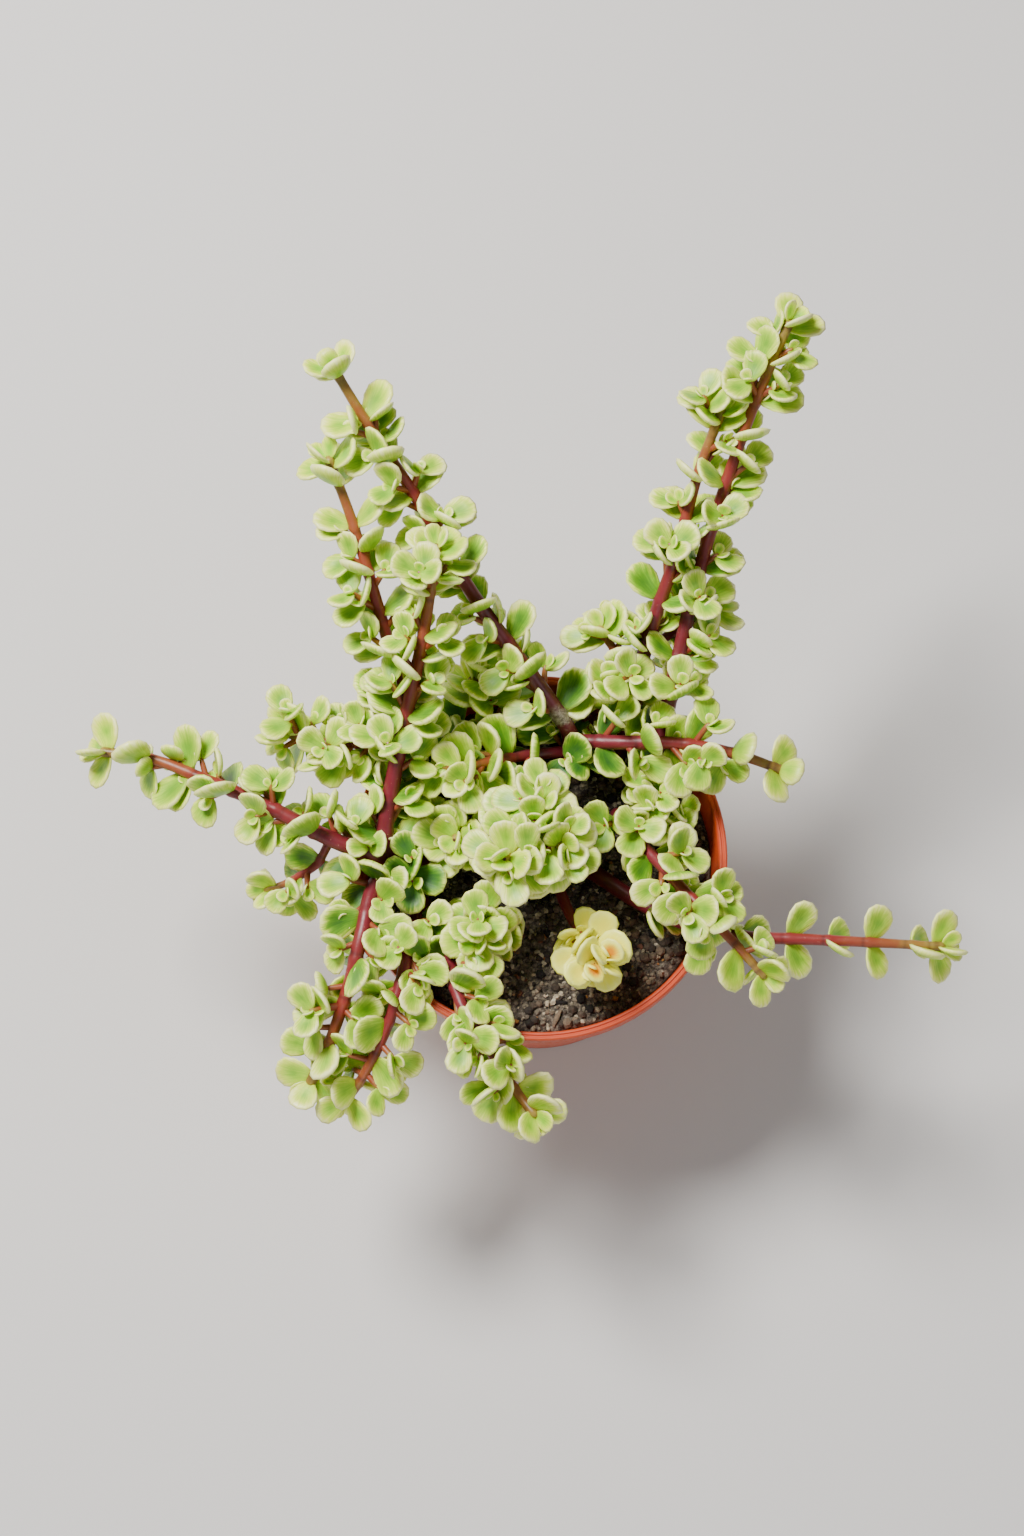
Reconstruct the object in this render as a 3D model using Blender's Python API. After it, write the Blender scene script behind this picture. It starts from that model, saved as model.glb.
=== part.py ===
"""Variegated elephant bush with many leafy stems, in a round plastic nursery pot.

The pot stands on the floor around the origin, +Z up, the front of the plant towards -Y.
Routes and sizes below are in millimetres and become metres when a mesh is made.
"""
import math
import random

import bmesh
import bpy
from mathutils import Vector
from mathutils.bvhtree import BVHTree

MM = 0.001

# Pot: radii and heights
POT_HEIGHT = 105.0
RIM_RADIUS = 60.0
RIM_DEPTH = 9.0
WALL_TOP_RADIUS = 57.6
BASE_RADIUS = 42.5
WALL = 1.5
FLOOR = 2.4
POT_SIDES = 40
SLOT_COUNT = 6
SLOT_WIDTH = 3.4
SLOT_INNER = 20.0
SLOT_OUTER = 33.0

# Soil: its level, lumps and clearances
SOIL_TOP = 92.0
SOIL_LUMP = 1.1
GAP = 0.3
ROOT_BOTTOM = 83.0
HOLE_SIDES = 8

# Leaves: shape for a leaf of length one, from its foot to its end
LEAF_EDGE = ((0.0, 0.0), (0.42, 0.38), (0.84, 0.38), (1.0, 0.0))
LEAF_BELOW = (0.56, -0.17)
LEAF_SINK = 1.3
LEAF_CLEAR = 0.5
CELL = 18.0
OWN_CROSSINGS = 0
LIGHT_PULL = 1.5
PAIR_TILT = 62.0

# Ways to bend a leaf clear of others: change of lean, change of turn, share of its size
LEAF_TRIES = (
    (0, 0, 1.0), (-16, 0, 1.0), (14, 0, 0.95), (0, 24, 0.95), (0, -24, 0.95),
    (-28, 14, 0.85), (-28, -14, 0.85), (-38, 0, 0.75), (10, 32, 0.75), (10, -32, 0.75),
)

# Stems: facets, ring spacing and the short side shoots
STEM_SIDES = 6
SHOOT_SIDES = 3
SHOOT_SHARE = 0.4
PAIR_SPREAD = 1.16
LEAF_SCALE = 1.08
RING_STEP = 13.0
SHOOT_RADIUS = 1.1

# A leafy stem is a list of axes. Each axis has a route, the radius at its start and end,
# the bare length at its start, the distance between leaf pairs, the length of its leaves,
# the share of leaf pairs that carry a side shoot, and the roll of its first pair in degrees.
STEMS = {
    "stem_left_crown": (12, [
        ([(-36, 2, 83), (-36, 2, 96), (-44, -3, 104), (-49, 4, 112), (-46, 22, 122), (-41, 42, 136),
          (-36, 61, 150), (-32, 84, 165)], 3.4, 1.6, 26, 11.5, 10.5, 0.75, 20),
        ([(-43, -2, 103), (-52, -11, 110), (-56, -28, 114), (-60, -43, 109), (-66, -59, 101),
          (-73, -72, 92)], 2.9, 1.6, 14, 11.5, 10.5, 0.7, 60),
        ([(-44, -3, 104), (-55, -1, 112), (-69, 4, 116), (-87, 13, 119), (-106, 21, 120),
          (-123, 28, 119), (-140, 31, 117)], 3.1, 1.5, 16, 12.5, 11.0, 0.85, 80),
        ([(-66, 3, 115), (-70, -3, 108), (-80, -8, 102), (-88, -10, 99)], 1.6, 1.1, 9, 8.5, 9.0, 0.3, 10),
    ]),
    "stem_centre_crown": (23, [
        ([(9, 33, 83), (9, 33, 98), (10, 37, 112), (5, 44, 120), (-6, 57, 130), (-22, 76, 144),
          (-37, 99, 158), (-53, 120, 172), (-64, 136, 181)], 3.2, 1.5, 40, 12.5, 10.5, 0.7, 35),
        ([(10, 36, 111), (26, 34, 117), (45, 33, 119), (62, 30, 118), (78, 25, 115)],
         2.7, 1.5, 10, 11.5, 10.5, 0.8, 70),
        ([(9, 34, 106), (-2, 32, 110), (-14, 28, 117), (-27, 22, 127)], 2.2, 1.4, 12, 7.0, 11.0, 0.6, 15),
    ]),
    "stem_back_left": (37, [
        ([(-37, 22, 83), (-37, 22, 96), (-43, 33, 115), (-45, 50, 132), (-51, 71, 148), (-59, 95, 160),
          (-66, 112, 167)], 2.8, 1.5, 26, 12.5, 10.5, 0.7, 0),
    ]),
    "stem_left_low": (41, [
        ([(-27, 34, 83), (-27, 34, 96), (-36, 38, 108), (-58, 35, 112), (-73, 36, 112), (-83, 40, 110)],
         2.3, 1.4, 22, 10.0, 10.5, 0.7, 45),
    ]),
    "stem_front_left": (53, [
        ([(-37, -13, 83), (-37, -13, 95), (-41, -28, 107), (-44, -44, 111), (-49, -58, 105), (-56, -70, 96),
          (-63, -78, 89)], 2.5, 1.5, 22, 10.5, 10.0, 0.7, 30),
    ]),
    "stem_front": (61, [
        ([(-29, -25, 83), (-29, -25, 95), (-28, -38, 107), (-24, -51, 112), (-16, -63, 109), (-8, -75, 104),
          (-1, -84, 104)], 2.4, 1.5, 24, 11.0, 11.0, 0.6, 0),
    ]),
    "stem_right_long": (71, [
        ([(16, -2, 83), (16, -2, 94), (32, -15, 103), (49, -25, 112), (64, -29, 116), (81, -30, 117),
          (102, -31, 117), (127, -32, 115)], 2.9, 1.4, 42, 11.5, 10.5, 0.4, 0),
    ]),
    "stem_right_over": (83, [
        ([(25, 16, 83), (25, 16, 95), (28, 8, 108), (38, -7, 120), (50, -23, 129), (60, -34, 129),
          (70, -44, 124)], 2.5, 1.4, 20, 10.0, 10.5, 0.7, 25),
    ]),
    "stem_yellow_head": (97, [
        ([(5, -5, 83), (5, -5, 95), (9, -18, 105), (15, -31, 112), (19, -38, 119)],
         2.1, 1.5, 38, 5.0, 9.5, 0.2, 45),
    ]),
    "stem_centre_head": (101, [
        ([(-3, 12, 83), (-3, 12, 97), (-4, 0, 118), (-11, -10, 140)], 2.5, 1.5, 22, 7.0, 11.0, 0.9, 10),
        ([(-4, 2, 115), (2, 0, 124), (7, -5, 136)], 1.8, 1.4, 8, 6.0, 11.0, 0.6, 50),
        ([(-4, 3, 112), (-3, 7, 122), (1, 10, 134)], 1.8, 1.4, 8, 6.0, 10.5, 0.6, 0),
    ]),
    "stem_back_right": (109, [
        ([(26, 38, 83), (26, 38, 96), (28, 43, 107), (31, 53, 114), (35, 68, 123), (43, 89, 140), (50, 112, 156),
          (57, 128, 167)], 3.0, 1.5, 26, 12.0, 10.5, 0.7, 60),
        ([(31, 52, 113), (26, 62, 115), (19, 73, 117)], 1.7, 1.3, 8, 8.5, 10.5, 0.6, 0),
        ([(34, 64, 119), (46, 72, 120), (58, 79, 119)], 1.7, 1.3, 9, 8.5, 10.5, 0.6, 40),
    ]),
    "stem_far_right": (127, [
        ([(36, 29, 83), (36, 29, 96), (38, 34, 107), (41, 46, 115), (49, 80, 133), (58, 107, 154), (67, 129, 171),
          (77, 150, 185)], 3.0, 1.5, 30, 12.0, 10.5, 0.75, 20),
    ]),
    "stem_back_short": (131, [
        ([(15, 43, 83), (15, 43, 96), (18, 46, 106), (21, 50, 114), (22, 54, 122)], 2.1, 1.4, 18, 8.0, 10.5, 0.6, 0),
    ]),
    "stem_inner_left": (139, [
        ([(-20, 12, 83), (-20, 12, 95), (-23, 8, 106), (-27, 2, 117)], 2.2, 1.4, 18, 7.5, 10.5, 0.7, 30),
    ]),
    "stem_inner_back": (149, [
        ([(-14, 38, 83), (-14, 38, 95), (-18, 48, 106), (-22, 56, 116)], 2.2, 1.4, 18, 8.0, 11.0, 0.7, 60),
    ]),
    "stem_inner_front": (151, [
        ([(-15, -14, 83), (-15, -14, 94), (-18, -24, 102), (-20, -30, 112)], 2.0, 1.3, 17, 7.5, 10.5, 0.7, 10),
    ]),
    "stem_rear": (163, [
        ([(45, 8, 83), (45, 8, 95), (40, 14, 104), (34, 18, 110)], 1.9, 1.3, 18, 8.0, 10.0, 0.4, 10),
    ]),
}


def clear_scene():
    for item in list(bpy.data.objects):
        bpy.data.objects.remove(item, do_unlink=True)


def make_material(name, colour, roughness):
    material = bpy.data.materials.new(name)
    material.use_nodes = True
    shader = material.node_tree.nodes["Principled BSDF"]
    shader.inputs["Base Color"].default_value = (*colour, 1.0)
    shader.inputs["Roughness"].default_value = roughness
    shader.inputs["Metallic"].default_value = 0.0
    return material


def make_object(name, verts, faces, material=None):
    mesh = bpy.data.meshes.new(name)
    mesh.from_pydata([Vector(v) * MM for v in verts], [], faces)
    item = bpy.data.objects.new(name, mesh)
    bpy.context.scene.collection.objects.link(item)
    if material:
        mesh.materials.append(material)
    return item


# Lines and stems

def smooth_line(route):
    """Points about a millimetre apart through the route, its first stretch straight."""
    knots = [Vector(p) for p in route]
    line = [knots[0]]
    for i in range(len(knots) - 1):
        a, b = knots[i], knots[i + 1]
        before = knots[max(i - 1, 0)]
        after = knots[min(i + 2, len(knots) - 1)]
        count = max(2, int((b - a).length))
        for k in range(1, count + 1):
            t = k / count
            if i == 0:
                line.append(a.lerp(b, t))
                continue
            slope_a = (b - before) * 0.5
            slope_b = (after - a) * 0.5
            point = a * (2 * t**3 - 3 * t**2 + 1) + slope_a * (t**3 - 2 * t**2 + t)
            point += b * (3 * t**2 - 2 * t**3) + slope_b * (t**3 - t**2)
            line.append(point)
    return line


class Axis:
    """One stem line with its length, direction and a side direction carried along it."""

    def __init__(self, route, r0, r1):
        self.line = smooth_line(route)
        self.r0 = r0
        self.r1 = r1
        self.knots = []
        self.run = [0.0]
        self.side = []
        side = None
        for i, point in enumerate(self.line):
            if i:
                self.run.append(self.run[-1] + (point - self.line[i - 1]).length)
            ahead = self.ahead(i)
            if side is None:
                side = ahead.cross(Vector((0.2, 1.0, 0.35)))
            side = (side - ahead * side.dot(ahead)).normalized()
            self.side.append(side)
        self.length = self.run[-1]

    def ahead(self, i):
        return (self.line[min(i + 1, len(self.line) - 1)] - self.line[max(i - 1, 0)]).normalized()

    def at(self, s):
        i = min(range(len(self.run)), key=lambda k: abs(self.run[k] - s))
        return self.line[i], self.ahead(i), self.side[i]

    def radius(self, s):
        return self.r0 + (self.r1 - self.r0) * s / self.length

    def tube(self, sides):
        count = max(1, round(self.length / RING_STEP))
        verts = []
        for k in range(count + 1):
            s = self.length * k / count
            point, ahead, side = self.at(s)
            other = ahead.cross(side)
            r = self.radius(s)
            for j in range(sides):
                a = 2 * math.pi * j / sides
                verts.append(point + (side * math.cos(a) + other * math.sin(a)) * r)
        faces = [tuple(reversed(range(sides)))]
        for k in range(count):
            for j in range(sides):
                n = (j + 1) % sides
                faces.append((k * sides + j, k * sides + n, (k + 1) * sides + n, (k + 1) * sides + j))
        faces.append(tuple(range(count * sides, (count + 1) * sides)))
        return verts, faces


# Leaves

def leaf_shape(foot, along, face, size, grow=0.0):
    """A plump leaf: a pointed foot, a rounded end, a flat upper face and a full belly below."""
    across = face.cross(along).normalized()
    edge = list(LEAF_EDGE) + [(x, -y) for x, y in reversed(LEAF_EDGE[1:-1])]
    verts = [foot + along * (x * size + grow * (x > 0.5)) + across * (y * size + grow * (y > 0) - grow * (y < 0))
             + face * grow for x, y in edge]
    verts.append(foot + along * (LEAF_BELOW[0] * size) + face * (LEAF_BELOW[1] * size - grow))
    n = len(edge)
    faces = [tuple(reversed(range(n)))] + [(j, (j + 1) % n, n) for j in range(n)]
    return verts, faces


def cell_of(point):
    return tuple(math.floor(c / CELL) for c in point)


class Space:
    """What has been placed so far: which node it belongs to and where it is."""

    def __init__(self):
        self.cells = {}
        self.long = []

    def add(self, node, verts, faces):
        centre = sum(verts, Vector()) / len(verts)
        reach = max((v - centre).length for v in verts)
        whole = BVHTree.FromPolygons(verts, faces)
        outer = BVHTree.FromPolygons(*outer_part(verts, faces))
        item = (node, centre, reach, whole, outer)
        if reach > CELL / 2:
            self.long.append(item)
        else:
            self.cells.setdefault(cell_of(centre), []).append(item)

    def near(self, centre):
        i, j, k = cell_of(centre)
        for a in (-1, 0, 1):
            for b in (-1, 0, 1):
                for c in (-1, 0, 1):
                    yield from self.cells.get((i + a, j + b, k + c), ())
        yield from self.long

    def hits(self, node, own, verts, faces):
        """How many placed things of the node itself, or of other nodes, a shape meets."""
        centre = sum(verts, Vector()) / len(verts)
        reach = max((v - centre).length for v in verts)
        tree = BVHTree.FromPolygons(*(outer_part(verts, faces) if own else (verts, faces)))
        count = 0
        for other, middle, radius, whole, outer in self.near(centre):
            if (other == node) != own or (middle - centre).length > reach + radius:
                continue
            if tree.overlap(outer if own else whole):
                count += 1
        return count


def outer_part(verts, faces):
    """The leaf without its foot, which lies among the feet of its neighbours."""
    if len(verts) != 2 * len(LEAF_EDGE) - 1:
        return verts, faces
    heel = [verts[0].lerp(v, 0.35) for v in verts[1:]]
    return [sum(heel, Vector()) / len(heel)] + verts[1:], faces


def leaf_frame(ahead, out, tilt):
    """Direction and upper face of a leaf that leans out from a stem and turns to the light."""
    t = math.radians(tilt)
    along = (ahead * math.cos(t) + out * math.sin(t)).normalized()
    face = ahead * math.sin(t) - out * math.cos(t)
    face += Vector((0, 0, LIGHT_PULL))
    face -= along * face.dot(along)
    if face.length < 0.2:
        face = ahead * math.sin(t) - out * math.cos(t)
    return along, face.normalized()


def clears_pot(verts):
    """True where a shape stays off the soil and the pot's wall and rim."""
    reach = [math.hypot(v.x, v.y) for v in verts]
    low = min(v.z for v in verts)
    if min(reach) < RIM_RADIUS - 6 and low < SOIL_TOP + SOIL_LUMP + 0.5:
        return False
    return low > POT_HEIGHT + 0.8 or min(reach) > RIM_RADIUS + 1.5 or max(reach) < RIM_RADIUS - 7


def place_leaf(space, node, point, ahead, out, radius, size, tilt, draw):
    """The first of several leanings and turnings at which the leaf is clear of the others."""
    turn = draw.uniform(-14, 14)
    lean = draw.uniform(-8, 8)
    best = None
    for d_tilt, d_turn, scale in LEAF_TRIES:
        angle = math.radians(turn + d_turn)
        swing = (out * math.cos(angle) + ahead.cross(out) * math.sin(angle)).normalized()
        along, face = leaf_frame(ahead, swing, tilt + lean + d_tilt)
        leaf = (point + swing * (radius - LEAF_SINK), along, face, size * scale + LEAF_SINK)
        verts, faces = leaf_shape(*leaf)
        if not clears_pot(verts) or space.hits(node, False, *leaf_shape(*leaf, LEAF_CLEAR)):
            continue
        crossing = space.hits(node, True, verts, faces)
        if best is None or crossing < best[0]:
            best = (crossing, leaf)
        if not crossing:
            break
    if best is None or best[0] > OWN_CROSSINGS:
        return None
    space.add(node, *leaf_shape(*best[1]))
    return best[1]


def dress_axis(space, node, axis, spec, draw, growth):
    """Leaf pairs, each turned a quarter from the last, with short shoots in their angles."""
    bare, step, size, share, roll = spec
    step = step * PAIR_SPREAD
    size = size * LEAF_SCALE
    s = bare
    stations = []
    while s < axis.length - 5.0:
        stations.append((s, size * draw.uniform(0.88, 1.12), PAIR_TILT, True))
        s += step * draw.uniform(0.88, 1.12)
    stations.append((axis.length - 3.7, size * 0.9, 66.0, False))
    stations.append((axis.length - 2.1, size * 0.75, 50.0, False))
    stations.append((axis.length - 1.0, size * 0.5, 22.0, False))
    for k, (s, length, tilt, shoots) in enumerate(stations):
        point, ahead, side = axis.at(s)
        radius = axis.radius(s)
        axis.knots.append(s)
        for half in (0, 180):
            angle = math.radians(roll + 90 * k + half)
            out = side * math.cos(angle) + ahead.cross(side) * math.sin(angle)
            leaf = place_leaf(space, node, point, ahead, out, radius, length, tilt, draw)
            if leaf:
                growth["leaves"].append((leaf, s / axis.length))
            wanted = draw.random() < share * SHOOT_SHARE
            reach = draw.uniform(5.5, 10.0)
            if shoots and wanted:
                start = point + ahead * 1.5 + out * (radius - 1.2)
                add_shoot(space, node, start, ahead, out, reach, size, draw, growth)


def add_shoot(space, node, start, ahead, out, reach, size, draw, growth):
    """A short side shoot with a leaf pair on the way and a small rosette at its end."""
    aim = (ahead * 0.55 + out * 0.85 + Vector((0, 0, 0.7))).normalized()
    end = start + aim * (reach + 2.0)
    twig = Axis([start, start.lerp(end, 0.4), end], SHOOT_RADIUS, SHOOT_RADIUS * 0.8)
    verts, faces = twig.tube(SHOOT_SIDES)
    if space.hits(node, False, verts, faces) or not clears_pot(verts):
        return
    leaves = []
    roll = draw.uniform(0, 90)
    pairs = [(twig.length - 1.0, size * 0.72, 60.0)]
    if reach > 7.0:
        pairs.insert(0, (twig.length - 4.0, size * 0.82, 72.0))
    for n, (s, length, tilt) in enumerate(pairs):
        spot, way, side = twig.at(s)
        for half in (0, 180):
            angle = math.radians(roll + 90 * n + half)
            lean_out = side * math.cos(angle) + way.cross(side) * math.sin(angle)
            leaf = place_leaf(space, node, spot, way, lean_out, SHOOT_RADIUS, length, tilt, draw)
            if leaf:
                leaves.append((leaf, 0.75))
    if leaves:
        growth["twigs"].append(twig)
        growth["leaves"].extend(leaves)


def grow_plant():
    """Every node's growth: its main stems first, then leaves and shoots where there is room."""
    space = Space()
    plant = {}
    for node, (seed, specs) in STEMS.items():
        stems = [Axis(spec[0], spec[1], spec[2]) for spec in specs]
        plant[node] = {"stems": stems, "twigs": [], "leaves": []}
        for axis in stems:
            space.add(node, *axis.tube(STEM_SIDES))
    for node, (seed, specs) in STEMS.items():
        draw = random.Random(seed)
        for axis, spec in zip(plant[node]["stems"], specs):
            dress_axis(space, node, axis, spec[3:], draw, plant[node])
    return plant


# Fusing and tidying

def keep_largest(item):
    """Keep the outer body: a sealed hollow is filled and a loose scrap dropped."""
    bm = bmesh.new()
    bm.from_mesh(item.data)
    bmesh.ops.triangulate(bm, faces=bm.faces)
    seen = set()
    groups = []
    for face in bm.faces:
        if face in seen:
            continue
        stack = [face]
        group = {face}
        while stack:
            for edge in stack.pop().edges:
                if len(edge.link_faces) == 2:
                    fresh = [f for f in edge.link_faces if f not in group]
                    group.update(fresh)
                    stack.extend(fresh)
        seen |= group
        groups.append(group)
    groups.sort(key=len, reverse=True)
    spare = [f for group in groups[1:] for f in group]
    if spare:
        bmesh.ops.delete(bm, geom=spare, context="FACES")
    rough = len([e for e in bm.edges if len(e.link_faces) != 2])
    bm.to_mesh(item.data)
    bm.free()
    return len(groups), rough


def fuse(base, parts, operation="UNION", solver="MANIFOLD"):
    group = bpy.data.collections.new(base.name + "_parts")
    for part in parts:
        group.objects.link(part)
    joint = base.modifiers.new("fuse", "BOOLEAN")
    joint.operand_type = "COLLECTION"
    joint.collection = group
    joint.operation = operation
    joint.solver = solver
    bpy.context.view_layer.objects.active = base
    bpy.ops.object.modifier_apply(modifier=joint.name)
    for part in parts:
        bpy.data.objects.remove(part, do_unlink=True)
    bpy.data.collections.remove(group)


def make_leafy_stem(node, growth, material):
    shapes = [axis.tube(STEM_SIDES) for axis in growth["stems"]]
    shapes += [twig.tube(SHOOT_SIDES) for twig in growth["twigs"]]
    shapes += [leaf_shape(*leaf) for leaf, age in growth["leaves"]]
    base = make_object(node, *shapes[0], material)
    parts = [make_object(node + "_piece", *shape) for shape in shapes[1:]]
    fuse(base, parts)
    pieces = keep_largest(base)
    print(node, "leaves", len(growth["leaves"]), "bodies", pieces, "triangles", len(base.data.polygons))
    return base


# Pot and soil

def revolve(name, profile, sides, material, lift=None):
    """A closed turned body from a profile that starts and ends on the axis."""
    verts = [(0, 0, profile[0][1])]
    rings = profile[1:-1]
    for k, (r, z) in enumerate(rings):
        for j in range(sides):
            a = 2 * math.pi * j / sides
            dz = lift(k, j) if lift else 0.0
            verts.append((r * math.cos(a), r * math.sin(a), z + dz))
    verts.append((0, 0, profile[-1][1]))
    last = len(verts) - 1
    faces = []
    for j in range(sides):
        n = (j + 1) % sides
        faces.append((0, 1 + n, 1 + j))
        for k in range(len(rings) - 1):
            a = 1 + k * sides
            b = a + sides
            faces.append((a + j, a + n, b + n, b + j))
        end = 1 + (len(rings) - 1) * sides
        faces.append((end + j, end + n, last))
    return make_object(name, verts, faces, material)


def make_pot(material):
    rim_foot = POT_HEIGHT - RIM_DEPTH
    profile = [
        (0, 0), (BASE_RADIUS, 0),
        (WALL_TOP_RADIUS, rim_foot), (RIM_RADIUS - 0.5, rim_foot + 0.6),
        (RIM_RADIUS, POT_HEIGHT - 1.0), (RIM_RADIUS - 0.7, POT_HEIGHT),
        (RIM_RADIUS - 2.4, POT_HEIGHT), (RIM_RADIUS - 3.0, POT_HEIGHT - 1.0),
        (WALL_TOP_RADIUS - WALL, rim_foot - 1.5), (BASE_RADIUS - WALL, FLOOR), (0, FLOOR),
    ]
    pot = revolve("pot", profile, POT_SIDES, material)
    slots = []
    for k in range(SLOT_COUNT):
        a = 2 * math.pi * (k + 0.5) / SLOT_COUNT
        way = Vector((math.cos(a), math.sin(a), 0))
        across = Vector((-way.y, way.x, 0)) * (SLOT_WIDTH / 2)
        verts = []
        for z in (-1.0, FLOOR + 1.0):
            for r, sign in ((SLOT_INNER, -1), (SLOT_OUTER, -1), (SLOT_OUTER, 1), (SLOT_INNER, 1)):
                verts.append(way * r + across * sign + Vector((0, 0, z)))
        faces = [(3, 2, 1, 0), (4, 5, 6, 7), (0, 1, 5, 4), (1, 2, 6, 5), (2, 3, 7, 6), (3, 0, 4, 7)]
        slots.append(make_object("slot", verts, faces))
    fuse(pot, slots, "DIFFERENCE")
    for polygon in pot.data.polygons:
        polygon.use_smooth = True
    pot.data.set_sharp_from_angle(angle=math.radians(30))
    return pot


def make_soil(material):
    wall_rise = POT_HEIGHT - RIM_DEPTH - 1.5 - FLOOR
    slope = (WALL_TOP_RADIUS - BASE_RADIUS) / wall_rise
    low = FLOOR + GAP
    top_radius = BASE_RADIUS - WALL + slope * (SOIL_TOP - FLOOR) - GAP * 1.4
    low_radius = BASE_RADIUS - WALL + slope * GAP - GAP * 1.4
    draw = random.Random(5)
    table = [[draw.uniform(-1, 1) * SOIL_LUMP for j in range(24)] for k in range(8)]

    def lift(k, j):
        return table[k][j] if k >= 2 else 0.0

    rings = [(low_radius, low), (top_radius, SOIL_TOP - 1.5)]
    for share in (0.82, 0.54, 0.26):
        rings.append((top_radius * share, SOIL_TOP))
    profile = [(0, low)] + rings + [(0, SOIL_TOP)]
    soil = revolve("soil", profile, 24, material, lift)
    holes = []
    for node, (seed, specs) in STEMS.items():
        root = Vector(specs[0][0][0])
        r = (specs[0][1] + GAP + 0.1) / math.cos(math.pi / HOLE_SIDES)
        verts = []
        for z in (ROOT_BOTTOM - GAP, SOIL_TOP + 6):
            for j in range(HOLE_SIDES):
                a = 2 * math.pi * j / HOLE_SIDES
                verts.append((root.x + r * math.cos(a), root.y + r * math.sin(a), z))
        faces = [tuple(reversed(range(HOLE_SIDES))), tuple(range(HOLE_SIDES, 2 * HOLE_SIDES))]
        for j in range(HOLE_SIDES):
            n = (j + 1) % HOLE_SIDES
            faces.append((j, n, HOLE_SIDES + n, HOLE_SIDES + j))
        holes.append(make_object("hole", verts, faces))
    fuse(soil, holes, "DIFFERENCE")
    return soil


clear_scene()
terracotta = make_material("terracotta_plastic", (0.62, 0.19, 0.09), 0.45)
peat = make_material("potting_soil", (0.03, 0.024, 0.02), 0.95)
leafage = make_material("variegated_leaf", (0.46, 0.55, 0.2), 0.4)
make_pot(terracotta)
make_soil(peat)
total = 0
leaf_total = 0
for node_name, growth in grow_plant().items():
    leaf_total += len(growth["leaves"])
    total += len(make_leafy_stem(node_name, growth, leafage).data.polygons)
print("leaves", leaf_total, "stem triangles", total)
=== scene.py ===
# %% [markdown]
# A variegated elephant bush in a nursery pot
#
# The object is a trailing succulent: long maroon stems with small round fleshy leaves, in a
# round plastic pot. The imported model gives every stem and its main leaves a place, with few
# faces. This lesson dresses it: each part is rebuilt with finer shapes at the same places and
# gets materials made of nodes. All sizes are real. Blender counts in metres, +Z is up and the
# front looks towards -Y. The tables are in millimetres, which MM turns into metres.

import math
import random

import bmesh
import bpy
from mathutils import Matrix, Vector
from mathutils.bvhtree import BVHTree


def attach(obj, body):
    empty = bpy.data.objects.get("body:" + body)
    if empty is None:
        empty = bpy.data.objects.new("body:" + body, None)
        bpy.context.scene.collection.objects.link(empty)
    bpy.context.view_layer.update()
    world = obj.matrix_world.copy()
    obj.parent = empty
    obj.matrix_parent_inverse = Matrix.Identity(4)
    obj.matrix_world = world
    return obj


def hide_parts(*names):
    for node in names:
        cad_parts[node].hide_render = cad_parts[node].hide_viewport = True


MM = 0.001
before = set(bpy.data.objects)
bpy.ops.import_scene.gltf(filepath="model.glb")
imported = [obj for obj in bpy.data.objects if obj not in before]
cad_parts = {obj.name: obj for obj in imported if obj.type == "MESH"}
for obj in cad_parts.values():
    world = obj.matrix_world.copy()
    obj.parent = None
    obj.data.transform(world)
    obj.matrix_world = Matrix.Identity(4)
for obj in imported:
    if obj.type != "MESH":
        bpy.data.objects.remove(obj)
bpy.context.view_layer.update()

# %% [markdown]
# Camera
#
# The photograph looks down steeply: the pot's rim is almost a circle, 0.96 as high as it is
# wide, which is a view from 74.5 degrees above the floor. A camera can be aimed by a
# constraint or by a turn worked out from a direction. The turn is chosen, because it leaves
# nothing live behind. The lens makes the 120 mm rim as wide as it is in the photograph.

# %% Camera
VIEW_UP = math.radians(74.5)
VIEW_CENTRE = Vector((-0.00876, 0.02887, 0.105))
CAMERA_DISTANCE = 1.1
LENS = 80.34
SENSOR_WIDTH = 36.0

away = Vector((0, -math.cos(VIEW_UP), math.sin(VIEW_UP)))
bpy.ops.object.select_all(action="DESELECT")
bpy.ops.object.camera_add(location=VIEW_CENTRE + away * CAMERA_DISTANCE)
camera = bpy.context.object
camera.name = "camera"
camera.rotation_euler = (-away).to_track_quat("-Z", "Y").to_euler()
camera.data.lens = LENS
camera.data.sensor_width = SENSOR_WIDTH
bpy.context.scene.camera = camera
print("camera at", [round(c, 3) for c in camera.location])

# %% [markdown]
# Floor and light
#
# A plain pale floor and soft studio light show the shapes without hard shadows. A soft shadow
# needs a large lamp, so one large round panel hangs above and behind to the left, where the
# leaves are brightest. Two dimmer ones fill in from the right and from the front, and the
# world adds a low even light.

# %% Floor and light
PLANT_MIDDLE = Vector((0, 0, 0.1))
FLOOR_COLOUR = (0.72, 0.70, 0.68, 1.0)
SKY_COLOUR = (0.9, 0.92, 1.0, 1.0)
SKY_STRENGTH = 0.16


def add_panel(name, place, size, watts, colour):
    """A round area lamp that shines on the plant."""
    bpy.ops.object.light_add(type="AREA", location=place)
    lamp = bpy.context.object
    lamp.name = name
    lamp.data.shape = "DISK"
    lamp.data.size = size
    lamp.data.energy = watts
    lamp.data.color = colour
    lamp.rotation_euler = (PLANT_MIDDLE - Vector(place)).to_track_quat("-Z", "Y").to_euler()


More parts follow.
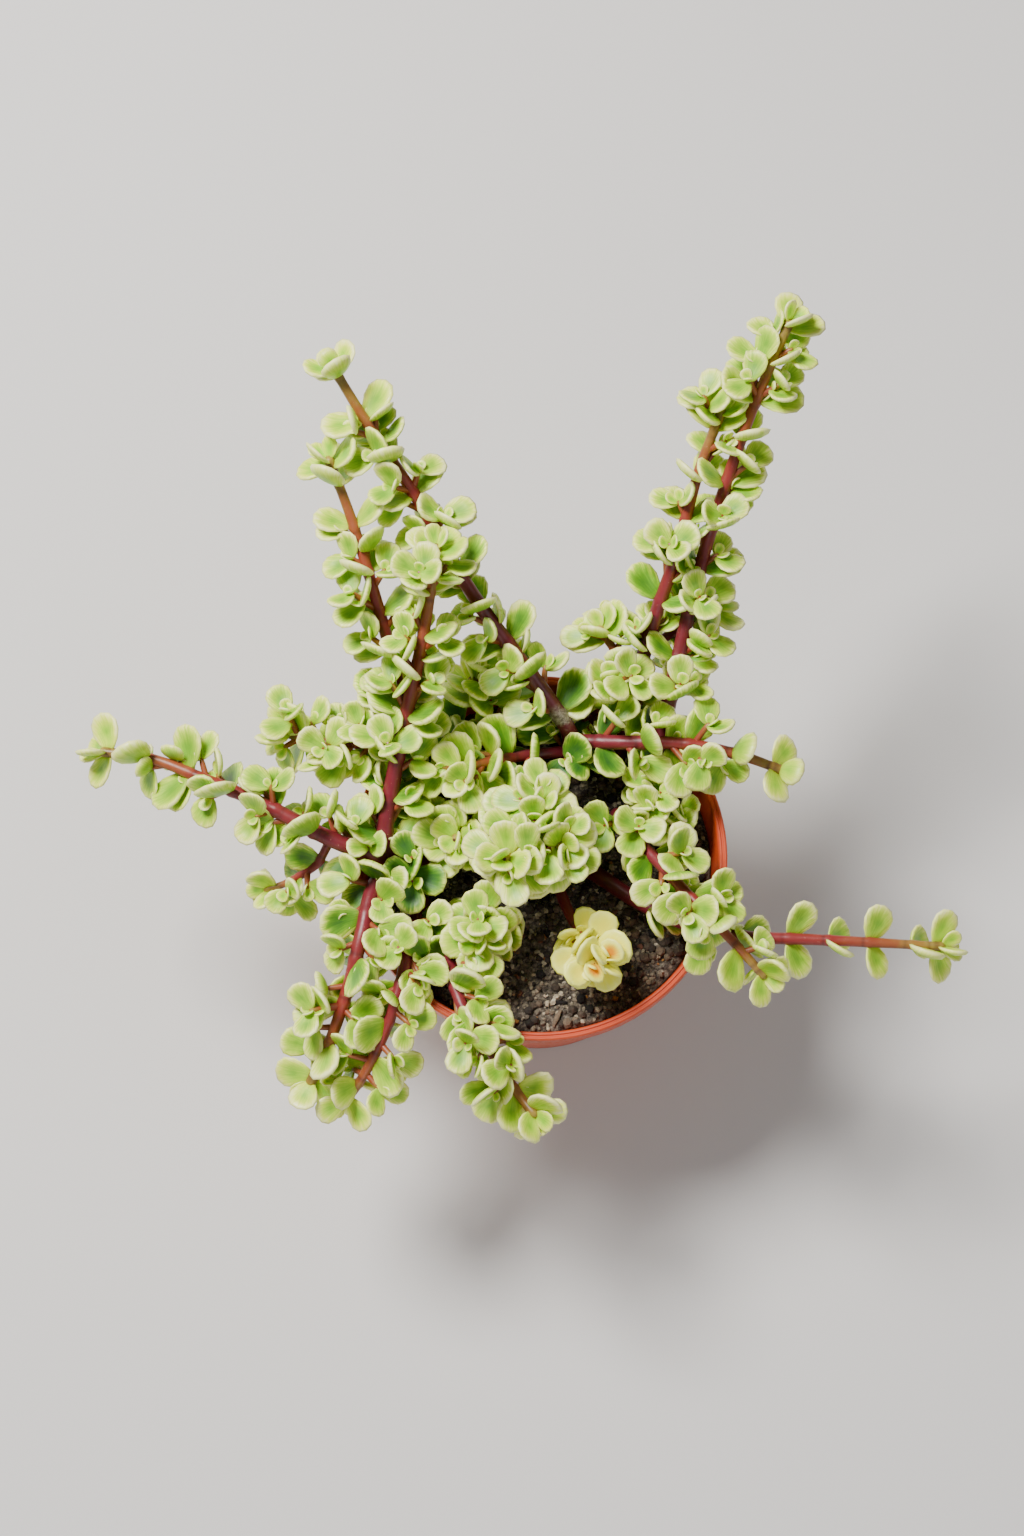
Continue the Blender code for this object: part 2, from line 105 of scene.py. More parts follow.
paper = bpy.data.materials.new("floor_paper")
paper.use_nodes = True
paper_shader = paper.node_tree.nodes["Principled BSDF"]
paper_shader.inputs["Base Color"].default_value = FLOOR_COLOUR
paper_shader.inputs["Roughness"].default_value = 0.9
bpy.ops.mesh.primitive_plane_add(size=6.0, location=(0, 0, 0))
floor = bpy.context.object
floor.name = "floor"
floor.data.materials.append(paper)
add_panel("key", (-0.55, 0.45, 1.25), 0.5, 36.0, (1.0, 0.98, 0.95))
add_panel("fill", (0.9, -0.5, 0.9), 0.9, 3.0, (0.95, 0.97, 1.0))
add_panel("low", (-0.2, -1.0, 0.5), 0.8, 2.5, (1.0, 0.98, 0.96))
world = bpy.data.worlds.new("studio")
world.use_nodes = True
world.node_tree.nodes["Background"].inputs["Color"].default_value = SKY_COLOUR
world.node_tree.nodes["Background"].inputs["Strength"].default_value = SKY_STRENGTH
bpy.context.scene.world = world
print("lamps", len(bpy.data.lights))

# %% [markdown]
# Helpers for materials
#
# Every finish here is a small net of nodes that reads Object coordinates, or values stored in
# the mesh. Adding each node by hand takes many lines, so one class keeps a material's nodes
# together, and each of its methods adds one kind of node, sets it and joins it. Colours are
# given as they look on a screen and turned into the linear values that a shader works with.

# %% Helpers for materials
def screen(r, g, b):
    """A colour as seen on a screen, 0 to 255, as the shader's linear values."""
    def line(c):
        c = c / 255
        return c / 12.92 if c <= 0.04045 else ((c + 0.055) / 1.055) ** 2.4
    return (line(r), line(g), line(b), 1.0)


class Net:
    """A material's node tree, with short calls to add nodes and join them."""

    def __init__(self, name):
        self.material = bpy.data.materials.new(name)
        self.material.use_nodes = True
        self.tree = self.material.node_tree
        self.shader = self.tree.nodes["Principled BSDF"]
        self.place = self.add("ShaderNodeTexCoord").outputs["Object"]

    def add(self, kind, **settings):
        node = self.tree.nodes.new(kind)
        for key, value in settings.items():
            setattr(node, key, value)
        return node

    def join(self, a, b):
        self.tree.links.new(a, b)

    def feed(self, socket, item):
        """Give a socket a constant, or join another node's output to it."""
        if isinstance(item, (int, float, tuple)):
            socket.default_value = item
        else:
            self.join(item, socket)

    def value(self, name):
        """A value that is stored on the mesh's points."""
        return self.add("ShaderNodeAttribute", attribute_name=name).outputs["Fac"]

    def noise(self, scale, detail=3.0, rough=0.5, place=None):
        node = self.add("ShaderNodeTexNoise")
        node.inputs["Scale"].default_value = scale
        node.inputs["Detail"].default_value = detail
        node.inputs["Roughness"].default_value = rough
        self.join(place or self.place, node.inputs["Vector"])
        return node.outputs["Fac"]

    def maths(self, operation, a, b):
        node = self.add("ShaderNodeMath", operation=operation)
        self.feed(node.inputs[0], a)
        self.feed(node.inputs[1], b)
        return node.outputs["Value"]

    def times(self, a, b):
        return self.maths("MULTIPLY", a, b)

    def plus(self, a, b):
        return self.maths("ADD", a, b)

    def swing(self, value, amount):
        """A value between 0 and 1 made a shift of either sign."""
        return self.times(self.maths("SUBTRACT", value, 0.5), amount)

    def ramp(self, factor, stops):
        node = self.add("ShaderNodeValToRGB")
        ramp = node.color_ramp
        ramp.elements[0].position = stops[0][0]
        ramp.elements[0].color = stops[0][1]
        ramp.elements[1].position = stops[-1][0]
        ramp.elements[1].color = stops[-1][1]
        for position, colour in stops[1:-1]:
            ramp.elements.new(position).color = colour
        self.join(factor, node.inputs["Fac"])
        return node.outputs["Color"]

    def fade(self, factor, start, end, first=0.0, last=1.0):
        """Grey that goes from one level to another while the factor goes from start to end."""
        return self.ramp(factor, [(start, (first, first, first, 1)), (end, (last, last, last, 1))])

    def mix(self, factor, a, b, blend="MIX"):
        node = self.add("ShaderNodeMix", data_type="RGBA", blend_type=blend)
        self.feed(node.inputs[0], factor)
        self.feed(node.inputs[6], a)
        self.feed(node.inputs[7], b)
        return node.outputs[2]

    def colour(self, output):
        self.join(output, self.shader.inputs["Base Color"])

    def roughness(self, output):
        self.join(output, self.shader.inputs["Roughness"])

    def soften(self, weight, radius):
        """Light that enters the skin and comes out again, up to the radius away in metres."""
        self.shader.inputs["Subsurface Weight"].default_value = weight
        self.shader.inputs["Subsurface Radius"].default_value = radius
        self.shader.inputs["Subsurface Scale"].default_value = 1.0

    def bump(self, height, strength, distance):
        node = self.add("ShaderNodeBump")
        node.inputs["Strength"].default_value = strength
        node.inputs["Distance"].default_value = distance
        self.join(height, node.inputs["Height"])
        self.join(node.outputs["Normal"], self.shader.inputs["Normal"])


print("a mid grey on screen is", round(screen(128, 128, 128)[0], 3), "for the shader")

# %% [markdown]
# Pot
#
# The real pot is thin moulded plastic in a terracotta colour, with a collar under its rim and
# drain slots in its floor. A turned body can be spun from a profile or grown ring by ring.
# Growing is chosen: a circle is added at the foot and extruded upwards, each new ring scaled
# to its radius, over the rim and down the inside, so that the wall has its real thickness.

# %% Pot shape
POT_HEIGHT = 105.0
RIM_RADIUS = 60.0
RIM_DEPTH = 9.0
WALL_TOP_RADIUS = 57.6
BASE_RADIUS = 42.5
WALL = 1.5
FLOOR = 2.4
POT_SIDES = 96


def only(piece):
    """Make a piece the only selected and active one."""
    bpy.ops.object.select_all(action="DESELECT")
    piece.select_set(True)
    bpy.context.view_layer.objects.active = piece


def grow_rings(name, rings, sides):
    """A turned body: a circle extruded from ring to ring, each a radius and a height in mm."""
    bpy.ops.object.select_all(action="DESELECT")
    last_r, last_z = rings[0]
    start = (0, 0, last_z * MM)
    bpy.ops.mesh.primitive_circle_add(vertices=sides, radius=last_r * MM, location=start)
    piece = bpy.context.object
    piece.name = name
    bpy.ops.object.transform_apply(location=True, rotation=False, scale=False)
    bpy.ops.object.mode_set(mode="EDIT")
    bpy.ops.mesh.select_mode(type="EDGE")
    bpy.ops.mesh.select_all(action="SELECT")
    for r, z in rings[1:]:
        rise = {"value": (0, 0, (z - last_z) * MM)}
        bpy.ops.mesh.extrude_edges_move(TRANSFORM_OT_translate=rise)
        share = r / last_r
        bpy.ops.transform.resize(value=(share, share, 1), center_override=(0, 0, z * MM))
        last_r, last_z = r, z
    bpy.ops.mesh.select_all(action="SELECT")
    bpy.ops.mesh.fill_holes(sides=0)
    bpy.ops.mesh.normals_make_consistent(inside=False)
    bpy.ops.object.mode_set(mode="OBJECT")
    return piece


rim_foot = POT_HEIGHT - RIM_DEPTH
outer_wall = [
    (BASE_RADIUS - 1.2, 0.0), (BASE_RADIUS - 0.2, 0.4), (BASE_RADIUS + 0.1, 1.4),
    (WALL_TOP_RADIUS - 0.2, rim_foot - 0.6), (WALL_TOP_RADIUS + 0.3, rim_foot - 0.1),
    (RIM_RADIUS - 0.9, rim_foot + 0.3), (RIM_RADIUS - 0.5, rim_foot + 0.9),
]
grooved_rim = [
    (RIM_RADIUS - 0.2, POT_HEIGHT - 2.0), (RIM_RADIUS, POT_HEIGHT - 1.2),
    (RIM_RADIUS - 0.15, POT_HEIGHT - 0.5), (RIM_RADIUS - 0.6, POT_HEIGHT - 0.1),
    (RIM_RADIUS - 1.0, POT_HEIGHT - 0.1), (RIM_RADIUS - 1.3, POT_HEIGHT - 0.45),
    (RIM_RADIUS - 1.6, POT_HEIGHT - 0.45), (RIM_RADIUS - 1.9, POT_HEIGHT),
    (RIM_RADIUS - 2.4, POT_HEIGHT), (RIM_RADIUS - 2.8, POT_HEIGHT - 0.4),
    (RIM_RADIUS - 3.0, POT_HEIGHT - 1.4),
]
inner_wall = [
    (WALL_TOP_RADIUS - WALL, rim_foot - 1.5),
    (BASE_RADIUS - WALL + 0.4, FLOOR + 1.4), (BASE_RADIUS - WALL - 0.8, FLOOR),
]
pot = grow_rings("pot_shell", outer_wall + grooved_rim + inner_wall, POT_SIDES)
print("pot faces", len(pot.data.polygons), "size", [round(c * 1000, 1) for c in pot.dimensions])

# %% [markdown]
# Drain slots
#
# The drain slots are real openings through the floor. Cutting them with a Boolean is simpler
# than leaving gaps while extruding, so a bar is added at each slot and taken away. The wall is
# smooth, and its edges stay crisp where they turn by more than 35 degrees.

# %% Drain slots
SLOT_COUNT = 6
SLOT_WIDTH = 3.4
SLOT_INNER = 20.0
SLOT_OUTER = 33.0
CUTTER_HEIGHT = 8.0
CUTTER_MIDDLE = 1.0


def apply_modifiers(piece):
    only(piece)
    for modifier in list(piece.modifiers):
        bpy.ops.object.modifier_apply(modifier=modifier.name)


slot_middle = (SLOT_INNER + SLOT_OUTER) / 2 * MM
for k in range(SLOT_COUNT):
    turn = 2 * math.pi * (k + 0.5) / SLOT_COUNT
    place = (slot_middle * math.cos(turn), slot_middle * math.sin(turn), CUTTER_MIDDLE * MM)
    bpy.ops.mesh.primitive_cube_add(size=1, location=place, rotation=(0, 0, turn))
    bar = bpy.context.object
    bar.scale = ((SLOT_OUTER - SLOT_INNER) * MM, SLOT_WIDTH * MM, CUTTER_HEIGHT * MM)
    cut = pot.modifiers.new("slot", "BOOLEAN")
    cut.operation = "DIFFERENCE"
    cut.object = bar
    apply_modifiers(pot)
    bpy.data.objects.remove(bar, do_unlink=True)
only(pot)
bpy.ops.object.shade_smooth_by_angle(angle=math.radians(35))
print("pot", len(pot.data.polygons), "faces, cut by", SLOT_COUNT, "slots")

# %% [markdown]
# Pot finish
#
# Moulded plastic is one colour all through, so a slow noise only moves it a little between
# two terracotta tones. A finer noise varies the gloss, and a third lays thin patches of dust.

# %% Pot finish
net = Net("terracotta_plastic")
broad = net.noise(35.0, 2.0)
fine = net.noise(900.0, 3.0)
tint = net.ramp(broad, [(0.3, screen(188, 66, 30)), (0.7, screen(204, 82, 40))])
dust = net.times(net.fade(net.noise(160.0, 6.0, 0.7), 0.52, 0.75), 0.2)
net.colour(net.mix(dust, tint, screen(186, 110, 80)))
net.roughness(net.fade(fine, 0.3, 0.7, 0.34, 0.5))
net.soften(0.12, (0.004, 0.0015, 0.0008))
net.bump(fine, 0.25, 0.0001)
pot.data.materials.append(net.material)
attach(pot, "root")
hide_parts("pot")
print("pot finish has", len(net.tree.nodes), "nodes")

# %% [markdown]
# Soil
#
# The pot is filled with dark peat, lumpy and mixed with grit. A flat disc would look like a
# lid, and a sculpt can't be repeated, so the same growing rings make the body, its top is
# divided, and two Displace modifiers, one broad and one fine, raise lumps and crumbs on it.

# %% Soil body
SOIL_TOP = 92.0
SOIL_LUMP = 1.1
GAP = 0.3
TOP_RINGS = 25
SOIL_SIDES = 72

slope = (WALL_TOP_RADIUS - BASE_RADIUS) / (rim_foot - 1.5 - FLOOR)
soil_radius = BASE_RADIUS - WALL + slope * (SOIL_TOP - FLOOR) - GAP * 1.4
soil_rings = [
    (BASE_RADIUS - WALL - GAP, FLOOR + GAP), (soil_radius - 0.4, SOIL_TOP - 2.5),
    (soil_radius, SOIL_TOP - 0.6),
]
soil_rings += [(soil_radius * k / TOP_RINGS, SOIL_TOP) for k in range(TOP_RINGS - 1, 0, -1)]
soil = grow_rings("soil_body", soil_rings, SOIL_SIDES)
bpy.ops.object.mode_set(mode="EDIT")
bpy.ops.mesh.select_mode(type="FACE")
bpy.ops.mesh.select_all(action="DESELECT")
form = bmesh.from_edit_mesh(soil.data)
for face in form.faces:
    face.select_set(face.calc_center_median().z > (SOIL_TOP - 0.4) * MM)
bmesh.update_edit_mesh(soil.data)
bpy.ops.mesh.subdivide(number_cuts=1)
bpy.ops.object.mode_set(mode="OBJECT")
crown = soil.vertex_groups.new(name="crown")
top_points = [v.index for v in soil.data.vertices if v.co.z > (SOIL_TOP - 0.5) * MM]
crown.add(top_points, 1.0, "REPLACE")
for name, scale, strength in (("lumps", 0.009, 0.0042), ("crumbs", 0.0024, 0.0034)):
    texture = bpy.data.textures.new(name, "CLOUDS")
    texture.noise_scale = scale
    texture.noise_depth = 2
    raised = soil.modifiers.new(name, "DISPLACE")
    raised.texture = texture
    raised.texture_coords = "LOCAL"
    raised.direction = "Z"
    raised.strength = strength
    raised.mid_level = 0.5
    raised.vertex_group = "crown"
apply_modifiers(soil)
bpy.ops.object.shade_smooth()
print("soil", len(soil.data.polygons), "faces")

# %% [markdown]
# Soil finish
#
# Dry potting soil is a mix of black peat and pale mineral grains. A fine noise picks between
# them, a broad one darkens damp patches, and the same fine noise raises a strong bump.

# %% Soil finish
net = Net("potting_soil")
grain = net.noise(520.0, 7.0, 0.75)
patch = net.noise(90.0, 4.0)
base = net.ramp(grain, [
    (0.34, screen(24, 20, 17)), (0.46, screen(84, 75, 65)), (0.56, screen(138, 126, 110)),
    (0.68, screen(196, 184, 162))])
net.colour(net.mix(net.times(patch, 0.35), base, screen(34, 29, 25)))
net.shader.inputs["Roughness"].default_value = 0.95
net.bump(grain, 1.0, 0.0014)
soil.data.materials.append(net.material)
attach(soil, "root")
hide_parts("soil")
print("soil finish has", len(net.tree.nodes), "nodes")

# %% [markdown]
# Loose bits
#
# Grit, peat crumbs and bark chips lie on the soil. Each is modelled once, from a small sphere
# whose points are shaken, and copied by a seeded draw, so that the same bits lie in the same
# places every time. Every copy has its own mesh and carries a tone that its material reads.

# %% Grit, crumbs and chips
DROP_FROM = 0.12
SMALL_BITS = 1.7

soil_points = [v.co for v in soil.data.vertices]
soil_tree = BVHTree.FromPolygons(soil_points, [p.vertices for p in soil.data.polygons])


def stone_model(name, seed, shape):
    bpy.ops.object.select_all(action="DESELECT")
    bpy.ops.mesh.primitive_uv_sphere_add(segments=6, ring_count=4, radius=0.5, location=(0, 0, 0))
    model = bpy.context.object
    model.name = name
    bpy.ops.object.mode_set(mode="EDIT")
    bpy.ops.mesh.select_all(action="SELECT")
    bpy.ops.transform.vertex_random(offset=0.16, seed=seed)
    bpy.ops.transform.resize(value=shape, center_override=(0, 0, 0))
    bpy.ops.object.mode_set(mode="OBJECT")
    return model


def lay_copy(model, name, matrix, **values):
    """A copy with its own mesh, set in place, with a value stored on all its points."""
    copy = bpy.data.objects.new(name, model.data.copy())
    copy.data.transform(matrix)
    for key, value in values.items():
        layer = copy.data.attributes.new(key, "FLOAT", "POINT")
        layer.data.foreach_set("value", [value] * len(copy.data.vertices))
    bpy.context.scene.collection.objects.link(copy)
    return copy


def join_pieces(name, parts):
    bpy.ops.object.select_all(action="DESELECT")
    for part in parts:
        part.select_set(True)
    bpy.context.view_layer.objects.active = parts[0]
    bpy.ops.object.join()
    parts[0].name = name
    return parts[0]


def scatter(name, model, count, seed, low, high, sink):
    """Copies of a model dropped on the soil, most of them near the lower size."""
    draw = random.Random(seed)
    parts = []
    while len(parts) < count:
        r = (soil_radius - 1.5) * math.sqrt(draw.random()) * MM
        a = draw.uniform(0, 2 * math.pi)
        above = Vector((r * math.cos(a), r * math.sin(a), DROP_FROM))
        hit = soil_tree.ray_cast(above, Vector((0, 0, -1)))[0]
        size = (low + (high - low) * draw.random() ** SMALL_BITS) * MM
        turn = Matrix.Rotation(draw.uniform(0, 6.28), 4, "Z")
        turn = turn @ Matrix.Rotation(draw.uniform(-0.5, 0.5), 4, "X")
        place = Matrix.Translation(hit + Vector((0, 0, size * sink)))
        place = place @ turn @ Matrix.Scale(size, 4)
        parts.append(lay_copy(model, name, place, tone=draw.random()))
    piece = join_pieces(name, parts)
    bpy.data.objects.remove(model, do_unlink=True)
    return piece


def bits_material(name, stops):
    net = Net(name)
    speck = net.noise(1500.0, 4.0, 0.65)
    colour = net.ramp(net.value("tone"), stops)
    shade = net.ramp(speck, [(0.3, screen(120, 112, 104)), (0.7, (1, 1, 1, 1))])
    net.colour(net.mix(0.8, colour, shade, "MULTIPLY"))
    net.shader.inputs["Roughness"].default_value = 0.85
    net.bump(speck, 0.6, 0.0003)
    return net.material


grit_stops = [
    (0.0, screen(84, 76, 66)), (0.3, screen(134, 122, 104)), (0.55, screen(172, 158, 134)),
    (0.78, screen(212, 198, 168)), (0.88, screen(238, 230, 208)), (0.92, screen(196, 140, 62)),
    (0.96, screen(150, 92, 70)), (1.0, screen(104, 84, 66))]
crumb_stops = [
    (0.0, screen(22, 17, 14)), (0.4, screen(58, 48, 40)), (0.75, screen(96, 82, 68)),
    (1.0, screen(136, 116, 94))]

# Name, seed, shape, count, smallest and largest size, how high a bit lies, colours
for name, seed, shape, count, low, high, sink, stops in (
        ("soil_grit", 3, (1.0, 0.8, 0.65), 3200, 0.7, 2.4, 0.2, grit_stops),
        ("soil_crumbs", 7, (1.0, 0.9, 0.75), 900, 1.2, 4.2, 0.12, crumb_stops),
        ("soil_chips", 9, (1.6, 0.45, 0.28), 90, 2.0, 4.6, 0.12, crumb_stops)):
    bits = scatter(name, stone_model(name + "_model", seed, shape), count, seed, low, high, sink)
    bits.data.materials.append(bits_material(name, stops))
    only(bits)
    bpy.ops.object.shade_flat()
    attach(bits, "root")
    print(name, count, "bits,", len(bits.data.polygons), "faces")

# %% [markdown]
# How the stems grow
#
# The stems' routes, the leaf pairs and the short side shoots follow the same rule as the
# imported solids: a route of a few points becomes a smooth line, leaves sit on it in pairs,
# each pair turned a quarter from the last, and a leaf that would meet another stem is bent or
# shortened. Repeating the rule here, with the same seeds, puts each finer leaf on its plain
# one. The values come first, with lengths in millimetres and angles in degrees.

# %% Values of the growth
# A leaf of length one: its edge from foot to end, and the lowest point of its belly
LEAF_EDGE = ((0.0, 0.0), (0.42, 0.38), (0.84, 0.38), (1.0, 0.0))
LEAF_BELOW = (0.56, -0.17)

# How deep a leaf's foot sits in its stem, and the room it leaves to other stems' leaves
LEAF_SINK = 1.3
LEAF_CLEAR = 0.5

# How strongly an upper face turns to the light, and how far a pair leans from its stem
LIGHT_PULL = 1.5
PAIR_TILT = 62.0

# Ways to bend a leaf clear of others: change of lean, change of turn, share of its size
LEAF_TRIES = (
    (0, 0, 1.0), (-16, 0, 1.0), (14, 0, 0.95), (0, 24, 0.95), (0, -24, 0.95),
    (-28, 14, 0.85), (-28, -14, 0.85), (-38, 0, 0.75), (10, 32, 0.75), (10, -32, 0.75),
)

# The last pairs of a stem: distance before its tip, share of the leaf's size, lean
TIP_PAIRS = ((3.7, 0.9, 66.0), (2.1, 0.75, 50.0), (1.0, 0.5, 22.0))

# Stems and shoots: facets and ring spacing of their plain tubes, and the factors that apply
# to every stem's share of shoots, distance between pairs and leaf length
STEM_SIDES = 6
SHOOT_SIDES = 3
RING_STEP = 13.0
SHOOT_RADIUS = 1.1
SHOOT_SINK = 1.2
SHOOT_SHARE = 0.4
PAIR_SPREAD = 1.16
LEAF_SCALE = 1.08

# A leafy stem has a seed and a list of axes. Each axis has a route, the radius at its start
# and end, the bare length at its start, the distance between leaf pairs, the length of its
# leaves, the share of leaf pairs that carry a side shoot, and the roll of its first pair.
STEMS = {
    "stem_left_crown": (12, [
        ([(-36, 2, 83), (-36, 2, 96), (-44, -3, 104), (-49, 4, 112), (-46, 22, 122), (-41, 42, 136),
          (-36, 61, 150), (-32, 84, 165)], 3.4, 1.6, 26, 11.5, 10.5, 0.75, 20),
        ([(-43, -2, 103), (-52, -11, 110), (-56, -28, 114), (-60, -43, 109), (-66, -59, 101),
          (-73, -72, 92)], 2.9, 1.6, 14, 11.5, 10.5, 0.7, 60),
        ([(-44, -3, 104), (-55, -1, 112), (-69, 4, 116), (-87, 13, 119), (-106, 21, 120),
          (-123, 28, 119), (-140, 31, 117)], 3.1, 1.5, 16, 12.5, 11.0, 0.85, 80),
        ([(-66, 3, 115), (-70, -3, 108), (-80, -8, 102), (-88, -10, 99)], 1.6, 1.1, 9, 8.5, 9.0, 0.3, 10),
    ]),
    "stem_centre_crown": (23, [
        ([(9, 33, 83), (9, 33, 98), (10, 37, 112), (5, 44, 120), (-6, 57, 130), (-22, 76, 144),
          (-37, 99, 158), (-53, 120, 172), (-64, 136, 181)], 3.2, 1.5, 40, 12.5, 10.5, 0.7, 35),
        ([(10, 36, 111), (26, 34, 117), (45, 33, 119), (62, 30, 118), (78, 25, 115)],
         2.7, 1.5, 10, 11.5, 10.5, 0.8, 70),
        ([(9, 34, 106), (-2, 32, 110), (-14, 28, 117), (-27, 22, 127)], 2.2, 1.4, 12, 7.0, 11.0, 0.6, 15),
    ]),
    "stem_back_left": (37, [
        ([(-37, 22, 83), (-37, 22, 96), (-43, 33, 115), (-45, 50, 132), (-51, 71, 148), (-59, 95, 160),
          (-66, 112, 167)], 2.8, 1.5, 26, 12.5, 10.5, 0.7, 0),
    ]),
    "stem_left_low": (41, [
        ([(-27, 34, 83), (-27, 34, 96), (-36, 38, 108), (-58, 35, 112), (-73, 36, 112), (-83, 40, 110)],
         2.3, 1.4, 22, 10.0, 10.5, 0.7, 45),
    ]),
    "stem_front_left": (53, [
        ([(-37, -13, 83), (-37, -13, 95), (-41, -28, 107), (-44, -44, 111), (-49, -58, 105), (-56, -70, 96),
          (-63, -78, 89)], 2.5, 1.5, 22, 10.5, 10.0, 0.7, 30),
    ]),
    "stem_front": (61, [
        ([(-29, -25, 83), (-29, -25, 95), (-28, -38, 107), (-24, -51, 112), (-16, -63, 109), (-8, -75, 104),
          (-1, -84, 104)], 2.4, 1.5, 24, 11.0, 11.0, 0.6, 0),
    ]),
    "stem_right_long": (71, [
        ([(16, -2, 83), (16, -2, 94), (32, -15, 103), (49, -25, 112), (64, -29, 116), (81, -30, 117),
          (102, -31, 117), (127, -32, 115)], 2.9, 1.4, 42, 11.5, 10.5, 0.4, 0),
    ]),
    "stem_right_over": (83, [
        ([(25, 16, 83), (25, 16, 95), (28, 8, 108), (38, -7, 120), (50, -23, 129), (60, -34, 129),
          (70, -44, 124)], 2.5, 1.4, 20, 10.0, 10.5, 0.7, 25),
    ]),
    "stem_yellow_head": (97, [
        ([(5, -5, 83), (5, -5, 95), (9, -18, 105), (15, -31, 112), (19, -38, 119)],
         2.1, 1.5, 38, 5.0, 9.5, 0.2, 45),
    ]),
    "stem_centre_head": (101, [
        ([(-3, 12, 83), (-3, 12, 97), (-4, 0, 118), (-11, -10, 140)], 2.5, 1.5, 22, 7.0, 11.0, 0.9, 10),
        ([(-4, 2, 115), (2, 0, 124), (7, -5, 136)], 1.8, 1.4, 8, 6.0, 11.0, 0.6, 50),
        ([(-4, 3, 112), (-3, 7, 122), (1, 10, 134)], 1.8, 1.4, 8, 6.0, 10.5, 0.6, 0),
    ]),
    "stem_back_right": (109, [
        ([(26, 38, 83), (26, 38, 96), (28, 43, 107), (31, 53, 114), (35, 68, 123), (43, 89, 140),
          (50, 112, 156), (57, 128, 167)], 3.0, 1.5, 26, 12.0, 10.5, 0.7, 60),
        ([(31, 52, 113), (26, 62, 115), (19, 73, 117)], 1.7, 1.3, 8, 8.5, 10.5, 0.6, 0),
        ([(34, 64, 119), (46, 72, 120), (58, 79, 119)], 1.7, 1.3, 9, 8.5, 10.5, 0.6, 40),
    ]),
    "stem_far_right": (127, [
        ([(36, 29, 83), (36, 29, 96), (38, 34, 107), (41, 46, 115), (49, 80, 133), (58, 107, 154),
          (67, 129, 171), (77, 150, 185)], 3.0, 1.5, 30, 12.0, 10.5, 0.75, 20),
    ]),
    "stem_back_short": (131, [
        ([(15, 43, 83), (15, 43, 96), (18, 46, 106), (21, 50, 114), (22, 54, 122)],
         2.1, 1.4, 18, 8.0, 10.5, 0.6, 0),
    ]),
    "stem_inner_left": (139, [
        ([(-20, 12, 83), (-20, 12, 95), (-23, 8, 106), (-27, 2, 117)], 2.2, 1.4, 18, 7.5, 10.5, 0.7, 30),
    ]),
    "stem_inner_back": (149, [
        ([(-14, 38, 83), (-14, 38, 95), (-18, 48, 106), (-22, 56, 116)], 2.2, 1.4, 18, 8.0, 11.0, 0.7, 60),
    ]),
    "stem_inner_front": (151, [
        ([(-15, -14, 83), (-15, -14, 94), (-18, -24, 102), (-20, -30, 112)],
         2.0, 1.3, 17, 7.5, 10.5, 0.7, 10),
    ]),
    "stem_rear": (163, [
        ([(45, 8, 83), (45, 8, 95), (40, 14, 104), (34, 18, 110)], 1.9, 1.3, 18, 8.0, 10.0, 0.4, 10),
    ]),
}

print("leafy stems", len(STEMS))

# %% [markdown]
# Stem lines
#
# A curve through a few points could be left to Blender, but leaves need to know where it runs.
# So the line is worked out here, about a millimetre at a time. Along it each stem keeps a
# point, the way ahead and a side that doesn't twist, on which the leaf pairs are counted round.

# %% Stem lines
def smooth_line(route):
    """Points about a millimetre apart through the route, its first stretch straight."""
    knots = [Vector(p) for p in route]
    line = [knots[0]]
    for i in range(len(knots) - 1):
        a, b = knots[i], knots[i + 1]
        before = knots[max(i - 1, 0)]
        after = knots[min(i + 2, len(knots) - 1)]
        count = max(2, int((b - a).length))
        for k in range(1, count + 1):
            t = k / count
            if i == 0:
                line.append(a.lerp(b, t))
                continue
            slope_a = (b - before) * 0.5
            slope_b = (after - a) * 0.5
            point = a * (2 * t**3 - 3 * t**2 + 1) + slope_a * (t**3 - 2 * t**2 + t)
            point += b * (3 * t**2 - 2 * t**3) + slope_b * (t**3 - t**2)
            line.append(point)
    return line


class Axis:
    """One stem line with its length, direction and a side direction carried along it."""

    def __init__(self, route, r0, r1):
        self.line = smooth_line(route)
        self.r0 = r0
        self.r1 = r1
        self.knots = []
        self.run = [0.0]
        self.side = []
        side = None
        for i, point in enumerate(self.line):
            if i:
                self.run.append(self.run[-1] + (point - self.line[i - 1]).length)
            ahead = self.ahead(i)
            if side is None:
                side = ahead.cross(Vector((0.2, 1.0, 0.35)))
            side = (side - ahead * side.dot(ahead)).normalized()
            self.side.append(side)
        self.length = self.run[-1]

    def ahead(self, i):
        before, after = max(i - 1, 0), min(i + 1, len(self.line) - 1)
        return (self.line[after] - self.line[before]).normalized()

    def at(self, s):
        i = min(range(len(self.run)), key=lambda k: abs(self.run[k] - s))
        return self.line[i], self.ahead(i), self.side[i]

    def radius(self, s):
        return self.r0 + (self.r1 - self.r0) * s / self.length

    def tube(self, sides):
        """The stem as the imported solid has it, to keep leaves clear of it."""
        count = max(1, round(self.length / RING_STEP))
        verts = []
        for k in range(count + 1):
            s = self.length * k / count
            point, ahead, side = self.at(s)
            other = ahead.cross(side)
            r = self.radius(s)
            for j in range(sides):
                a = 2 * math.pi * j / sides
                verts.append(point + (side * math.cos(a) + other * math.sin(a)) * r)
        faces = [tuple(reversed(range(sides)))]
        for k in range(count):
            low, high = k * sides, (k + 1) * sides
            for j in range(sides):
                n = (j + 1) % sides
                faces.append((low + j, low + n, high + n, high + j))
        faces.append(tuple(range(count * sides, (count + 1) * sides)))
        return verts, faces


